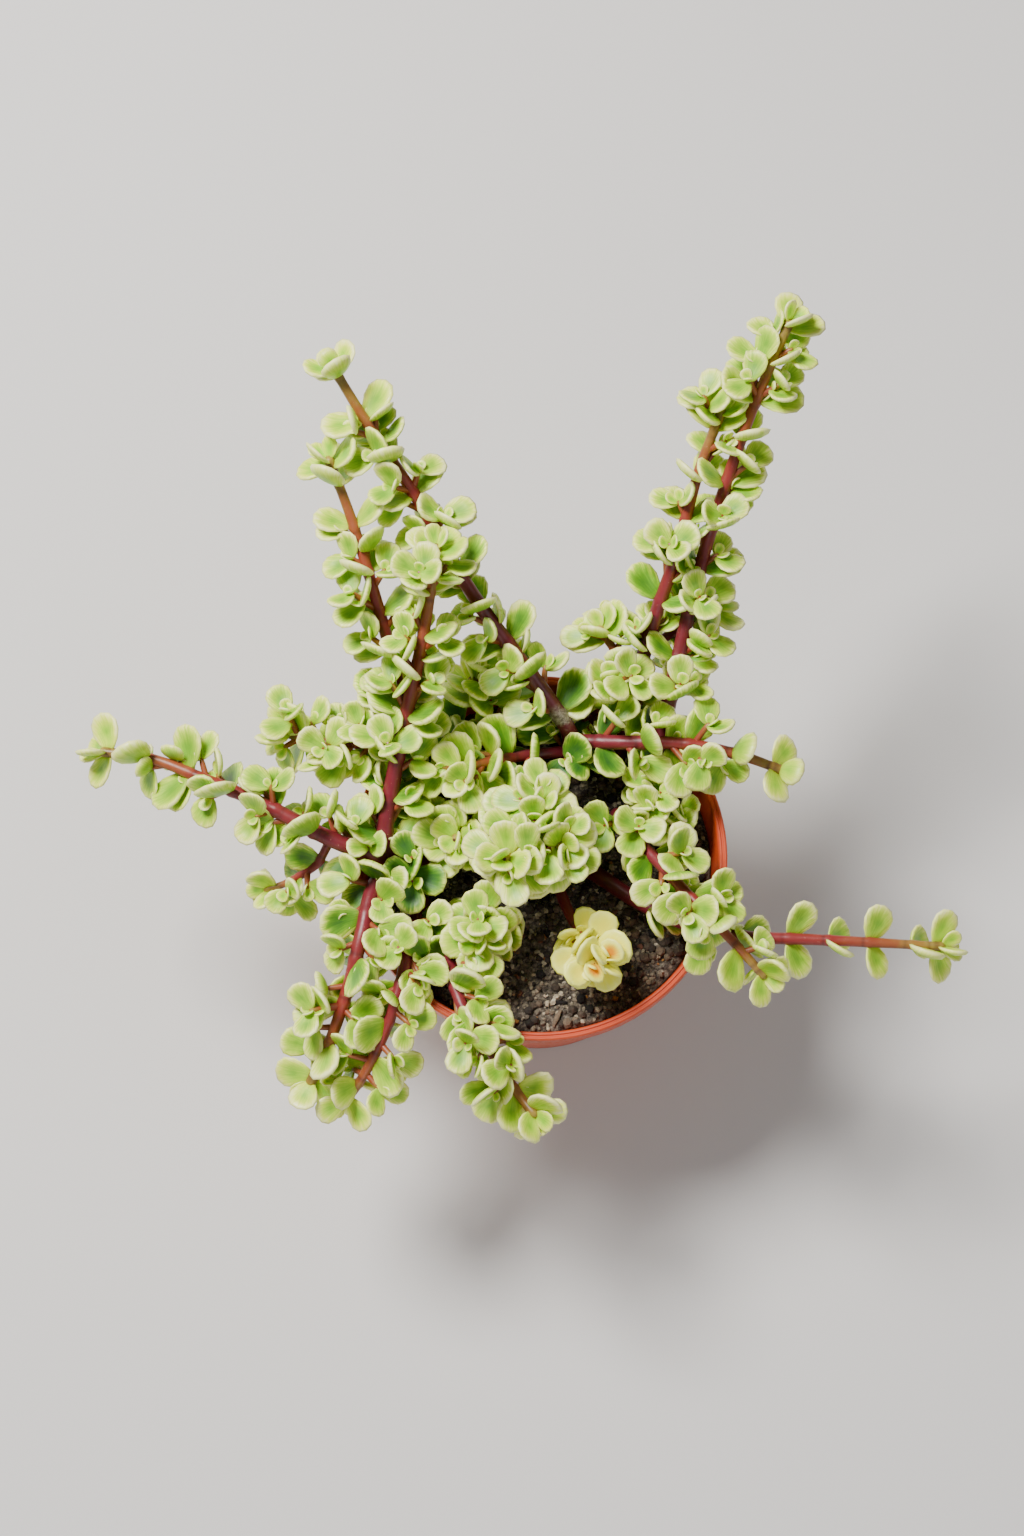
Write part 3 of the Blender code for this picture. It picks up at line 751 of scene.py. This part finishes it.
longest = max(Axis(*spec[:3]).length for _, specs in STEMS.values() for spec in specs)
print("the longest stem line is", round(longest), "mm")

# %% [markdown]
# Leaves that keep clear of each other
#
# A leaf has a foot, a direction, an upper face and a length. Here it is only a plain stand-in
# of seven points, which is quick to test. What is already placed is kept as small search
# trees, sorted into cells, so that a new leaf is tried against its neighbours alone.

# %% Leaves that keep clear of each other
CELL = 18.0
HEEL_SHARE = 0.35


def leaf_shape(foot, along, face, size, grow=0.0):
    """A plump leaf: a pointed foot, a rounded end, a flat upper face and a full belly below."""
    across = face.cross(along).normalized()
    verts = []
    for x, y in list(LEAF_EDGE) + [(x, -y) for x, y in reversed(LEAF_EDGE[1:-1])]:
        forward = x * size + grow * (x > 0.5)
        sideways = y * size + grow * (y > 0) - grow * (y < 0)
        verts.append(foot + along * forward + across * sideways + face * grow)
    n = len(verts)
    verts.append(foot + along * (LEAF_BELOW[0] * size) + face * (LEAF_BELOW[1] * size - grow))
    faces = [tuple(reversed(range(n)))] + [(j, (j + 1) % n, n) for j in range(n)]
    return verts, faces


def outer_part(verts, faces):
    """The leaf without its foot, which lies among the feet of its neighbours."""
    if len(verts) != 2 * len(LEAF_EDGE) - 1:
        return verts, faces
    heel = [verts[0].lerp(v, HEEL_SHARE) for v in verts[1:]]
    return [sum(heel, Vector()) / len(heel)] + verts[1:], faces


class Space:
    """What has been placed so far: which node it belongs to and where it is."""

    def __init__(self):
        self.cells = {}
        self.long = []

    def add(self, node, verts, faces):
        centre, reach = ball_round(verts)
        whole = BVHTree.FromPolygons(verts, faces)
        outer = BVHTree.FromPolygons(*outer_part(verts, faces))
        item = (node, centre, reach, whole, outer)
        if reach > CELL / 2:
            self.long.append(item)
        else:
            self.cells.setdefault(cell_of(centre), []).append(item)

    def near(self, centre):
        i, j, k = cell_of(centre)
        for a in (-1, 0, 1):
            for b in (-1, 0, 1):
                for c in (-1, 0, 1):
                    yield from self.cells.get((i + a, j + b, k + c), ())
        yield from self.long

    def meets(self, node, own, verts, faces):
        """True where a shape meets something of the node itself, or of other nodes."""
        centre, reach = ball_round(verts)
        tree = BVHTree.FromPolygons(*(outer_part(verts, faces) if own else (verts, faces)))
        for other, middle, radius, whole, outer in self.near(centre):
            if (other == node) != own or (middle - centre).length > reach + radius:
                continue
            if tree.overlap(outer if own else whole):
                return True
        return False


def cell_of(point):
    return tuple(math.floor(c / CELL) for c in point)


def ball_round(verts):
    """The middle of some points, and how far the last of them is from it."""
    centre = sum(verts, Vector()) / len(verts)
    return centre, max((v - centre).length for v in verts)


plain_leaf = leaf_shape(Vector(), Vector((1, 0, 0)), Vector((0, 0, 1)), 10.0)
print("a 10 mm leaf is tested with", len(plain_leaf[0]), "points, reach",
      round(ball_round(plain_leaf[0])[1], 1), "mm")

# %% [markdown]
# A leaf finds its place
#
# A leaf leans out from its stem and turns its face up to the light. If it would touch the pot,
# the soil or another leaf, it is tried again with another lean and turn, a little smaller each
# time, and left out when nothing fits.

# %% Place one leaf
TURN_SPREAD = 14
LEAN_SPREAD = 8


def leaf_frame(ahead, out, tilt):
    """Direction and upper face of a leaf that leans out from a stem and turns to the light."""
    t = math.radians(tilt)
    along = (ahead * math.cos(t) + out * math.sin(t)).normalized()
    face = ahead * math.sin(t) - out * math.cos(t)
    face += Vector((0, 0, LIGHT_PULL))
    face -= along * face.dot(along)
    if face.length < 0.2:
        face = ahead * math.sin(t) - out * math.cos(t)
    return along, face.normalized()


def clears_pot(verts):
    """True where a shape stays off the soil and the pot's wall and rim."""
    reach = [math.hypot(v.x, v.y) for v in verts]
    low = min(v.z for v in verts)
    if min(reach) < RIM_RADIUS - 6 and low < SOIL_TOP + SOIL_LUMP + 0.5:
        return False
    if low > POT_HEIGHT + 0.8:
        return True
    return min(reach) > RIM_RADIUS + 1.5 or max(reach) < RIM_RADIUS - 7


def place_leaf(space, node, point, ahead, out, radius, size, tilt, draw):
    """The first of several leanings and turnings at which the leaf is clear of the others."""
    turn = draw.uniform(-TURN_SPREAD, TURN_SPREAD)
    lean = draw.uniform(-LEAN_SPREAD, LEAN_SPREAD)
    for d_tilt, d_turn, scale in LEAF_TRIES:
        angle = math.radians(turn + d_turn)
        swing = (out * math.cos(angle) + ahead.cross(out) * math.sin(angle)).normalized()
        along, face = leaf_frame(ahead, swing, tilt + lean + d_tilt)
        leaf = (point + swing * (radius - LEAF_SINK), along, face, size * scale + LEAF_SINK)
        verts, faces = leaf_shape(*leaf)
        if not clears_pot(verts) or space.meets(node, False, *leaf_shape(*leaf, LEAF_CLEAR)):
            continue
        if not space.meets(node, True, verts, faces):
            space.add(node, verts, faces)
            return leaf
    return None


print("a leaf has", len(LEAF_TRIES), "tries")

# %% [markdown]
# Leaf pairs and side shoots
#
# Stations are set along each stem: a pair at every step, and three small pairs at the tip.
# Some leaf angles carry a short shoot with its own leaves. Each leaf is kept with a number
# for its youth, from 0 at the old foot of a stem to 1 at its tip, which its colour needs. The
# stems of the whole plant are laid first, and then each is dressed from its foot to its tip.

# %% Grow the plant
LAST_PAIR = 5.0
LONG_SHOOT = 7.0
SHOOT_YOUTH = 0.75


def dress_axis(space, node, axis, spec, draw, growth):
    """Leaf pairs, each turned a quarter from the last, with short shoots in their angles."""
    bare, step, size, share, roll = spec
    step = step * PAIR_SPREAD
    size = size * LEAF_SCALE
    s = bare
    stations = []
    while s < axis.length - LAST_PAIR:
        stations.append((s, size * draw.uniform(0.88, 1.12), PAIR_TILT, True))
        s += step * draw.uniform(0.88, 1.12)
    for before_tip, size_share, tilt in TIP_PAIRS:
        stations.append((axis.length - before_tip, size * size_share, tilt, False))
    for k, (s, length, tilt, shoots) in enumerate(stations):
        point, ahead, side = axis.at(s)
        radius = axis.radius(s)
        axis.knots.append(s)
        for half in (0, 180):
            angle = math.radians(roll + 90 * k + half)
            out = side * math.cos(angle) + ahead.cross(side) * math.sin(angle)
            leaf = place_leaf(space, node, point, ahead, out, radius, length, tilt, draw)
            if leaf:
                growth["leaves"].append((leaf, s / axis.length))
            wanted = draw.random() < share * SHOOT_SHARE
            reach = draw.uniform(5.5, 10.0)
            if shoots and wanted:
                start = point + ahead * 1.5 + out * (radius - SHOOT_SINK)
                add_shoot(space, node, start, ahead, out, reach, size, draw, growth)


def add_shoot(space, node, start, ahead, out, reach, size, draw, growth):
    """A short side shoot with a leaf pair on the way and a small rosette at its end."""
    aim = (ahead * 0.55 + out * 0.85 + Vector((0, 0, 0.7))).normalized()
    end = start + aim * (reach + 2.0)
    twig = Axis([start, start.lerp(end, 0.4), end], SHOOT_RADIUS, SHOOT_RADIUS * 0.8)
    verts, faces = twig.tube(SHOOT_SIDES)
    if space.meets(node, False, verts, faces) or not clears_pot(verts):
        return
    leaves = []
    roll = draw.uniform(0, 90)
    pairs = [(twig.length - 1.0, size * 0.72, 60.0)]
    if reach > LONG_SHOOT:
        pairs.insert(0, (twig.length - 4.0, size * 0.82, 72.0))
    for n, (s, length, tilt) in enumerate(pairs):
        spot, way, side = twig.at(s)
        for half in (0, 180):
            angle = math.radians(roll + 90 * n + half)
            lean_out = side * math.cos(angle) + way.cross(side) * math.sin(angle)
            leaf = place_leaf(space, node, spot, way, lean_out, SHOOT_RADIUS, length, tilt, draw)
            if leaf:
                leaves.append((leaf, SHOOT_YOUTH))
    if leaves:
        growth["twigs"].append(twig)
        growth["leaves"].extend(leaves)


space = Space()
plant = {}
for node, (_, specs) in STEMS.items():
    stems = [Axis(*spec[:3]) for spec in specs]
    plant[node] = {"stems": stems, "twigs": [], "leaves": []}
    for axis in stems:
        space.add(node, *axis.tube(STEM_SIDES))
for node, (seed, specs) in STEMS.items():
    draw = random.Random(seed)
    for axis, spec in zip(plant[node]["stems"], specs):
        dress_axis(space, node, axis, spec[3:], draw, plant[node])
print("leaves in the solids", sum(len(growth["leaves"]) for growth in plant.values()))

# %% [markdown]
# The rest of the foliage
#
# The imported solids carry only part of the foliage, because many leaves make a heavy model.
# Here the rest is added by the same rule: a seeded draw tries short shoots around every leaf
# pair, and a shoot stays where at least one of its leaves finds room. The long branches keep
# their bare upper side, as on the real plant, where the red stems show from above. The short
# inner stems are filled on all sides, and longer shoots from the feet of the stems close the
# heart of the bush. Every shoot ends in a pair of tiny young leaves.

# %% The rest of the foliage
HEART_RADIUS = 75.0
HEART_TOP = 111.0
OUTER_SHARE = 0.5
THIN_SHARE = -0.3
BARE_ABOVE = 0.1
LONG_STEP = 9.0
YELLOW_REACH = 3.0
OLD_AND_SHADED_YOUTH = 0.12
FULL_NODES = ("stem_inner_left", "stem_inner_back", "stem_inner_front", "stem_centre_head",
              "stem_back_short", "stem_rear", "stem_yellow_head")
THIN_NODES = ("stem_right_long", "stem_right_over")
OPEN_NODES = THIN_NODES + ("stem_yellow_head", "stem_far_right", "stem_rear")


def thicken_axis(space, node, axis, size, roll, draw, growth):
    """Shoots at every leaf pair, and between pairs that are far apart."""
    places = [(s, k) for k, s in enumerate(axis.knots[:-len(TIP_PAIRS)])]
    for (a, k), (b, _) in list(zip(places, places[1:])):
        if b - a > LONG_STEP:
            places.append(((a + b) / 2, k + 0.5))
    for s, k in places:
        point, ahead, side = axis.at(s)
        heart = max(0.0, 1.0 - math.hypot(point.x, point.y) / HEART_RADIUS)
        if node in THIN_NODES:
            heart = THIN_SHARE
        highest = 1.0 if node in FULL_NODES else BARE_ABOVE
        for quarter in range(4):
            angle = math.radians(roll + 90 * k + 90 * quarter + draw.uniform(-15, 15))
            out = side * math.cos(angle) + ahead.cross(side) * math.sin(angle)
            if draw.random() > OUTER_SHARE + heart or out.z > highest:
                continue
            start = point + ahead * draw.uniform(0.8, 2.2) + out * (axis.radius(s) - SHOOT_SINK)
            reach = draw.uniform(3.0, 5.5) + 4 * max(0.0, heart)
            scale = LEAF_SCALE * size * draw.uniform(0.95, 1.2)
            if node == "stem_yellow_head":
                reach = YELLOW_REACH
            add_shoot(space, node, start, ahead, out, reach, scale, draw, growth)


def fill_heart(space, node, axis, size, draw, growth):
    """Shoots below the first leaf pair, whose leaves are old and dark, partly by their own colour and
    partly as painted shade.
    """
    first = len(growth["leaves"])
    s = axis.knots[0] - 3.0
    while axis.at(s)[0].z > SOIL_TOP + 9:
        point, ahead, side = axis.at(s)
        for fifth in range(5):
            angle = math.radians(72 * fifth + draw.uniform(-25, 25))
            out = side * math.cos(angle) + ahead.cross(side) * math.sin(angle)
            start = point + out * (axis.radius(s) - SHOOT_SINK)
            scale = LEAF_SCALE * size * draw.uniform(1.0, 1.3)
            reach = min(draw.uniform(7.0, 17.0), HEART_TOP - start.z)
            if reach > 4:
                add_shoot(space, node, start, ahead, out, reach, scale, draw, growth)
        s -= 5.0
    # These deep leaves take the dark old colour, which also paints the shade of the heart on them
    growth["leaves"][first:] = [(leaf, OLD_AND_SHADED_YOUTH) for leaf, _ in growth["leaves"][first:]]


def add_buds(growth, draw):
    """A pair of tiny leaves at the end of every shoot."""
    for twig in growth["twigs"]:
        point, ahead, side = twig.at(twig.length)
        angle = draw.uniform(0, math.pi)
        for half in (0, math.pi):
            out = side * math.cos(angle + half) + ahead.cross(side) * math.sin(angle + half)
            along, face = leaf_frame(ahead, out, draw.uniform(25, 42))
            bud = (point - ahead * 0.8, along, face, draw.uniform(3.2, 5.0))
            growth["leaves"].append((bud, 1.0))


draw = random.Random(29)
for node, (_, specs) in STEMS.items():
    for axis, spec in zip(plant[node]["stems"], specs):
        thicken_axis(space, node, axis, spec[5], spec[7], draw, plant[node])
for node, (_, specs) in STEMS.items():
    if node not in OPEN_NODES:
        fill_heart(space, node, plant[node]["stems"][0], specs[0][5], draw, plant[node])
for growth in plant.values():
    add_buds(growth, draw)
print("leaves in all", sum(len(growth["leaves"]) for growth in plant.values()))

# %% [markdown]
# One leaf
#
# A real leaf is a plump little paddle: narrow at its foot, broadest past the middle, rounded
# at its end, with a nearly flat upper face, a raised edge and a full belly. A sphere has the
# right closed skin, so it is pressed flat, its rings are lifted or dropped in edit mode, and
# a taper makes the foot narrow. Its rings also tell how far a point is from the edge, which
# the colours need, so that share is stored before the sphere is pressed.

# %% Leaf models
LEAF_SEGMENTS = 12
LEAF_RINGS = 6
STORED_VALUES = (
    ("inner", lambda c: 1 - 2 * math.hypot(c.x, c.y)),
    ("along", lambda c: c.x + 0.5),
    ("across", lambda c: c.y * 2),
    ("above", lambda c: float(c.z > -0.05)),
)


def leaf_model(name, width, taper, lip, hollow):
    """A leaf of length one along +X, its upper face towards +Z, from a pressed sphere."""
    bpy.ops.object.select_all(action="DESELECT")
    bpy.ops.mesh.primitive_uv_sphere_add(
        segments=LEAF_SEGMENTS, ring_count=LEAF_RINGS, radius=0.5, location=(0, 0, 0))
    model = bpy.context.object
    model.name = name
    mesh = model.data
    for key, rule in STORED_VALUES:
        layer = mesh.attributes.new(key, "FLOAT", "POINT")
        layer.data.foreach_set("value", [rule(v.co) for v in mesh.vertices])
    bpy.ops.object.mode_set(mode="EDIT")
    bpy.ops.mesh.select_mode(type="VERT")
    # The height of each ring on the sphere, and on the leaf
    heights = ((0.5, hollow), (0.433, hollow * 0.9), (0.25, lip), (0.0, lip - 0.03),
               (-0.25, -0.085), (-0.433, -0.14), (-0.5, -0.155))
    for level, height in heights:
        bpy.ops.mesh.select_all(action="DESELECT")
        form = bmesh.from_edit_mesh(mesh)
        for v in form.verts:
            if not v.tag and abs(v.co.z - level) < 0.01:
                v.select_set(True)
                v.tag = True
        bmesh.update_edit_mesh(mesh)
        bpy.ops.transform.translate(value=(0, 0, height - level))
    bpy.ops.mesh.select_all(action="SELECT")
    bpy.ops.transform.resize(value=(1, width, 1), center_override=(0, 0, 0))
    bpy.ops.object.mode_set(mode="OBJECT")
    narrow = model.modifiers.new("narrow_foot", "SIMPLE_DEFORM")
    narrow.deform_method = "TAPER"
    narrow.deform_axis = "X"
    narrow.factor = taper
    apply_modifiers(model)
    bpy.ops.object.mode_set(mode="EDIT")
    bpy.ops.mesh.select_all(action="SELECT")
    bpy.ops.transform.translate(value=(0.5, 0, 0))
    bpy.ops.mesh.normals_make_consistent(inside=False)
    bpy.ops.object.mode_set(mode="OBJECT")
    bpy.ops.object.shade_smooth()
    return model


leaf_models = [
    leaf_model("leaf_round", 0.88, 0.56, 0.012, -0.012),
    leaf_model("leaf_long", 0.77, 0.64, 0.02, -0.022),
    leaf_model("leaf_cupped", 0.83, 0.58, 0.035, -0.03),
]
for model in leaf_models:
    print(model.name, [round(c, 3) for c in model.dimensions], len(model.data.polygons), "faces")

# %% [markdown]
# Leaf finish
#
# The leaf's middle is green, its edge cream to yellow, and the border between them is
# feathered, because the pale tissue runs inwards in streaks. A painted picture would give
# every leaf the same border. Here the stored distance from the edge is shifted by a noise
# that is stretched along the leaf and fans out from its foot, and that starts elsewhere on
# each leaf. Young leaves are yellower. Old leaves, low on the stems and in the heart of the
# bush, are darker, partly by their own colour and partly as painted shade. A thin pale rim at
# the very edge is partly the leaf's cream edge and partly a painted highlight. One stem's
# leaves are lemon yellow all over, and its youngest have a warm orange middle.

# %% Leaf finish
def leaf_material():
    net = Net("variegated_leaf")
    inner = net.value("inner")
    along = net.value("along")
    tone = net.value("tone")
    youth = net.value("youth")

    # Streaks: a noise on the leaf's own grid, stretched along it, another on every leaf
    flow = net.add("ShaderNodeCombineXYZ")
    fan = net.maths("DIVIDE", net.value("across"), net.plus(along, 0.6))
    for socket, value, stretch in zip(flow.inputs, (along, fan, tone), (1.2, 7.0, 60.0)):
        net.join(net.times(value, stretch), socket)
    broad = net.noise(230.0, 2.0)
    streak = net.noise(1.6, 4.0, 0.65, flow.outputs["Vector"])
    shift = net.plus(net.swing(broad, 0.45), net.swing(streak, 0.95))
    shift = net.maths("SUBTRACT", shift, net.swing(tone, 0.22))

    # Border: 0 in the cream edge, 1 in the green middle; the foot is green to its edge
    border = net.plus(net.plus(inner, shift), net.fade(along, 0.0, 0.42, 0.5, 0.0))
    grown = net.ramp(border, [
        (0.0, screen(250, 252, 164)), (0.12, screen(234, 244, 108)), (0.23, screen(188, 220, 52)),
        (0.42, screen(134, 190, 28)), (0.68, screen(94, 156, 24)), (0.95, screen(74, 130, 32))])
    young = net.ramp(border, [
        (0.0, screen(252, 252, 170)), (0.22, screen(238, 246, 110)), (0.42, screen(210, 234, 64)),
        (0.75, screen(166, 212, 34)), (1.0, screen(136, 194, 30))])
    # Old leaves: their own darker green, darkened further as painted shade for leaves low in the bush
    old_and_shaded = net.ramp(border, [
        (0.0, screen(220, 226, 110)), (0.12, screen(168, 198, 56)), (0.28, screen(88, 142, 34)),
        (0.6, screen(54, 108, 34)), (0.95, screen(40, 86, 40))])
    colour = net.mix(net.fade(youth, 0.5, 0.95), grown, young)
    colour = net.mix(net.fade(youth, 0.05, 0.4, 1.0, 0.0), colour, old_and_shaded)
    under = net.mix(0.3, colour, screen(162, 204, 50))
    colour = net.mix(net.value("above"), under, colour)
    # A thin pale rim at the very edge: partly the leaf's cream edge, partly a painted highlight
    pale_rim_and_highlight = net.times(net.fade(inner, 0.01, 0.08, 1.0, 0.0), 0.5)
    colour = net.mix(pale_rim_and_highlight, colour, screen(255, 252, 170))

    # The yellow stem's leaves, with a warm spot where a leaf stores it
    yellow = net.ramp(border, [
        (0.0, screen(255, 255, 130)), (0.4, screen(255, 254, 92)), (0.8, screen(255, 246, 76))])
    spot = net.fade(net.plus(inner, net.times(shift, 0.4)), 0.2, 0.75)
    yellow = net.mix(net.times(net.value("warm"), spot), yellow, screen(232, 146, 0))
    colour = net.mix(net.value("gold"), colour, yellow)
    foot = net.times(net.fade(along, 0.02, 0.2, 1.0, 0.0), 0.3)
    net.colour(net.mix(foot, colour, screen(150, 132, 50)))
    net.roughness(net.fade(streak, 0.3, 0.7, 0.36, 0.5))
    net.soften(0.15, (0.0016, 0.0022, 0.0007))
    net.shader.inputs["Coat Weight"].default_value = 0.06
    net.shader.inputs["Coat Roughness"].default_value = 0.35
    net.bump(net.plus(broad, net.times(streak, 0.8)), 0.25, 0.0003)
    return net.material


leaf_finish = leaf_material()
print("leaf finish has", len(leaf_finish.node_tree.nodes), "nodes")

# %% [markdown]
# Stem finish
#
# A stem goes from brown at the soil over maroon to orange and olive at its tip, with pale
# specks and a dark line at each leaf pair. These follow values stored along the stem. One
# stem bears a grey corky scar just past its side branches, so its patch is placed in space.

# %% Stem finish
SCAR_STEM = plant["stem_centre_crown"]["stems"][0]
SCAR_ALONG = 39.0
SCAR_START = 0.003
SCAR_END = 0.006


def stem_material():
    net = Net("maroon_stem")
    patch = net.noise(160.0, 4.0, 0.6)
    speck = net.noise(1300.0, 3.0, 0.6)
    colour = net.ramp(net.plus(net.value("youth"), net.swing(patch, 0.25)), [
        (0.02, screen(76, 40, 34)), (0.16, screen(98, 26, 34)), (0.5, screen(120, 30, 44)),
        (0.74, screen(140, 46, 40)), (0.88, screen(148, 80, 42)), (1.0, screen(154, 130, 54))])
    colour = net.mix(net.times(net.fade(speck, 0.66, 0.74), 0.35), colour, screen(206, 150, 130))
    colour = net.mix(net.times(net.value("ring"), 0.6), colour, screen(70, 26, 28))
    reach = net.add("ShaderNodeVectorMath", operation="DISTANCE")
    net.join(net.place, reach.inputs[0])
    reach.inputs[1].default_value = SCAR_STEM.at(SCAR_ALONG)[0] * MM
    near = net.fade(net.times(reach.outputs["Value"], 100.0), SCAR_START * 100, SCAR_END * 100, 1.0, 0.0)
    cork = net.ramp(speck, [(0.35, screen(92, 78, 64)), (0.65, screen(176, 164, 142))])
    net.colour(net.mix(net.times(near, net.fade(patch, 0.42, 0.5)), colour, cork))
    net.roughness(net.fade(patch, 0.3, 0.7, 0.32, 0.5))
    net.soften(0.08, (0.0015, 0.0006, 0.0004))
    net.bump(net.plus(patch, net.times(speck, 0.5)), 0.3, 0.0003)
    return net.material


stem_finish = stem_material()
print("stem finish has", len(stem_finish.node_tree.nodes), "nodes")

# %% [markdown]
# Stem tubes
#
# A stem is a tube along a line. A path curve with a round bevel makes it, with a radius at
# each point: a little thicker at every leaf pair, thinner at the tip. Once it is a mesh, each
# ring of points stores how far along the stem it lies, for the colours.

# %% Stem tubes
SWELL_LENGTH = 0.9
RING_LENGTH = 0.45
SWELL = 0.13
TIP_ROUND = 1.5


def closeness(s, places, length):
    """One at the nearest of some places along a stem, fading to nothing away from it."""
    return max([math.exp(-((s - k) / length) ** 2) for k in places], default=0.0)


def stem_tube(name, axis, tip_youth, foot_youth):
    bpy.ops.object.select_all(action="DESELECT")
    bpy.ops.curve.primitive_nurbs_path_add(location=(0, 0, 0))
    path = bpy.context.object
    path.name = name
    curve = path.data
    curve.splines.clear()
    spline = curve.splines.new("POLY")
    spline.points.add(len(axis.line) - 1)
    for point, spot, s in zip(spline.points, axis.line, axis.run):
        swell = SWELL * closeness(s, axis.knots, SWELL_LENGTH)
        end = min(1.0, (axis.length - s) / TIP_ROUND + 0.35)
        point.co = (*(spot * MM), 1.0)
        point.radius = axis.radius(s) * (0.97 + swell) * end
    curve.dimensions = "3D"
    curve.bevel_depth = MM
    curve.bevel_resolution = 4
    curve.use_fill_caps = True
    bpy.ops.object.convert(target="MESH")
    tube = bpy.context.object
    points = len(tube.data.vertices)
    sides = points // len(axis.run)
    youths = [foot_youth + (tip_youth - foot_youth) * s / axis.length for s in axis.run]
    rings = [closeness(s, axis.knots, RING_LENGTH) for s in axis.run]
    for key, values in (("youth", youths), ("ring", rings)):
        layer = tube.data.attributes.new(key, "FLOAT", "POINT")
        spread = [values[min(i // sides, len(values) - 1)] for i in range(points)]
        layer.data.foreach_set("value", spread)
    return tube


def stem_tubes(node, growth):
    """A tube for every stem and shoot of a node. A branch starts less old than its stem."""
    tubes = []
    for n, axis in enumerate(growth["stems"]):
        tubes.append(stem_tube(node + "_stem", axis, 1.0, 0.0 if n == 0 else 0.25))
    for twig in growth["twigs"]:
        tubes.append(stem_tube(node + "_stem", twig, 0.95, 0.7))
    return tubes


print("shoots in all", sum(len(growth["twigs"]) for growth in plant.values()))

# %% [markdown]
# Dress every stem
#
# Each node gets two pieces: its tubes joined, and its leaves joined. Both stand for the
# node's plain solid. Every leaf is one of the three models, set at its foot and turned to its
# direction and face, with its youth, its own tone and its yellow stored for the colours.

# %% Dress every stem
LEAF_FULLNESS = 1.08
WARM_ABOVE = 0.95


def leaf_copies(node, growth, draw):
    gold = 1.0 if node == "stem_yellow_head" else 0.0
    parts = []
    for (foot, along, face, length), youth in growth["leaves"]:
        turn = Matrix((along, face.cross(along), face)).transposed().to_4x4()
        place = Matrix.Translation(foot * MM) @ turn @ Matrix.Scale(length * LEAF_FULLNESS * MM, 4)
        warm = float(WARM_ABOVE < youth < 1.0)
        model = draw.choice(leaf_models)
        parts.append(lay_copy(
            model, node, place, youth=youth, tone=draw.random(), gold=gold, warm=warm))
    return parts


draw = random.Random(77)
for node, growth in plant.items():
    wood = join_pieces(node + "_stem", stem_tubes(node, growth))
    wood.data.materials.append(stem_finish)
    leaves = join_pieces(node + "_leaves", leaf_copies(node, growth, draw))
    leaves.data.materials.append(leaf_finish)
    for piece in (wood, leaves):
        only(piece)
        bpy.ops.object.shade_smooth()
        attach(piece, "root")
        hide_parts(node)
    faces = len(wood.data.polygons) + len(leaves.data.polygons)
    print(node, len(growth["leaves"]), "leaves", faces, "faces")
for model in leaf_models:
    bpy.data.objects.remove(model, do_unlink=True)

# %% [markdown]
# Sizes and finish
# Finish
# The finished pieces should fill the same box as the imported model, or a hair more.

# %% Finish
bpy.context.view_layer.update()
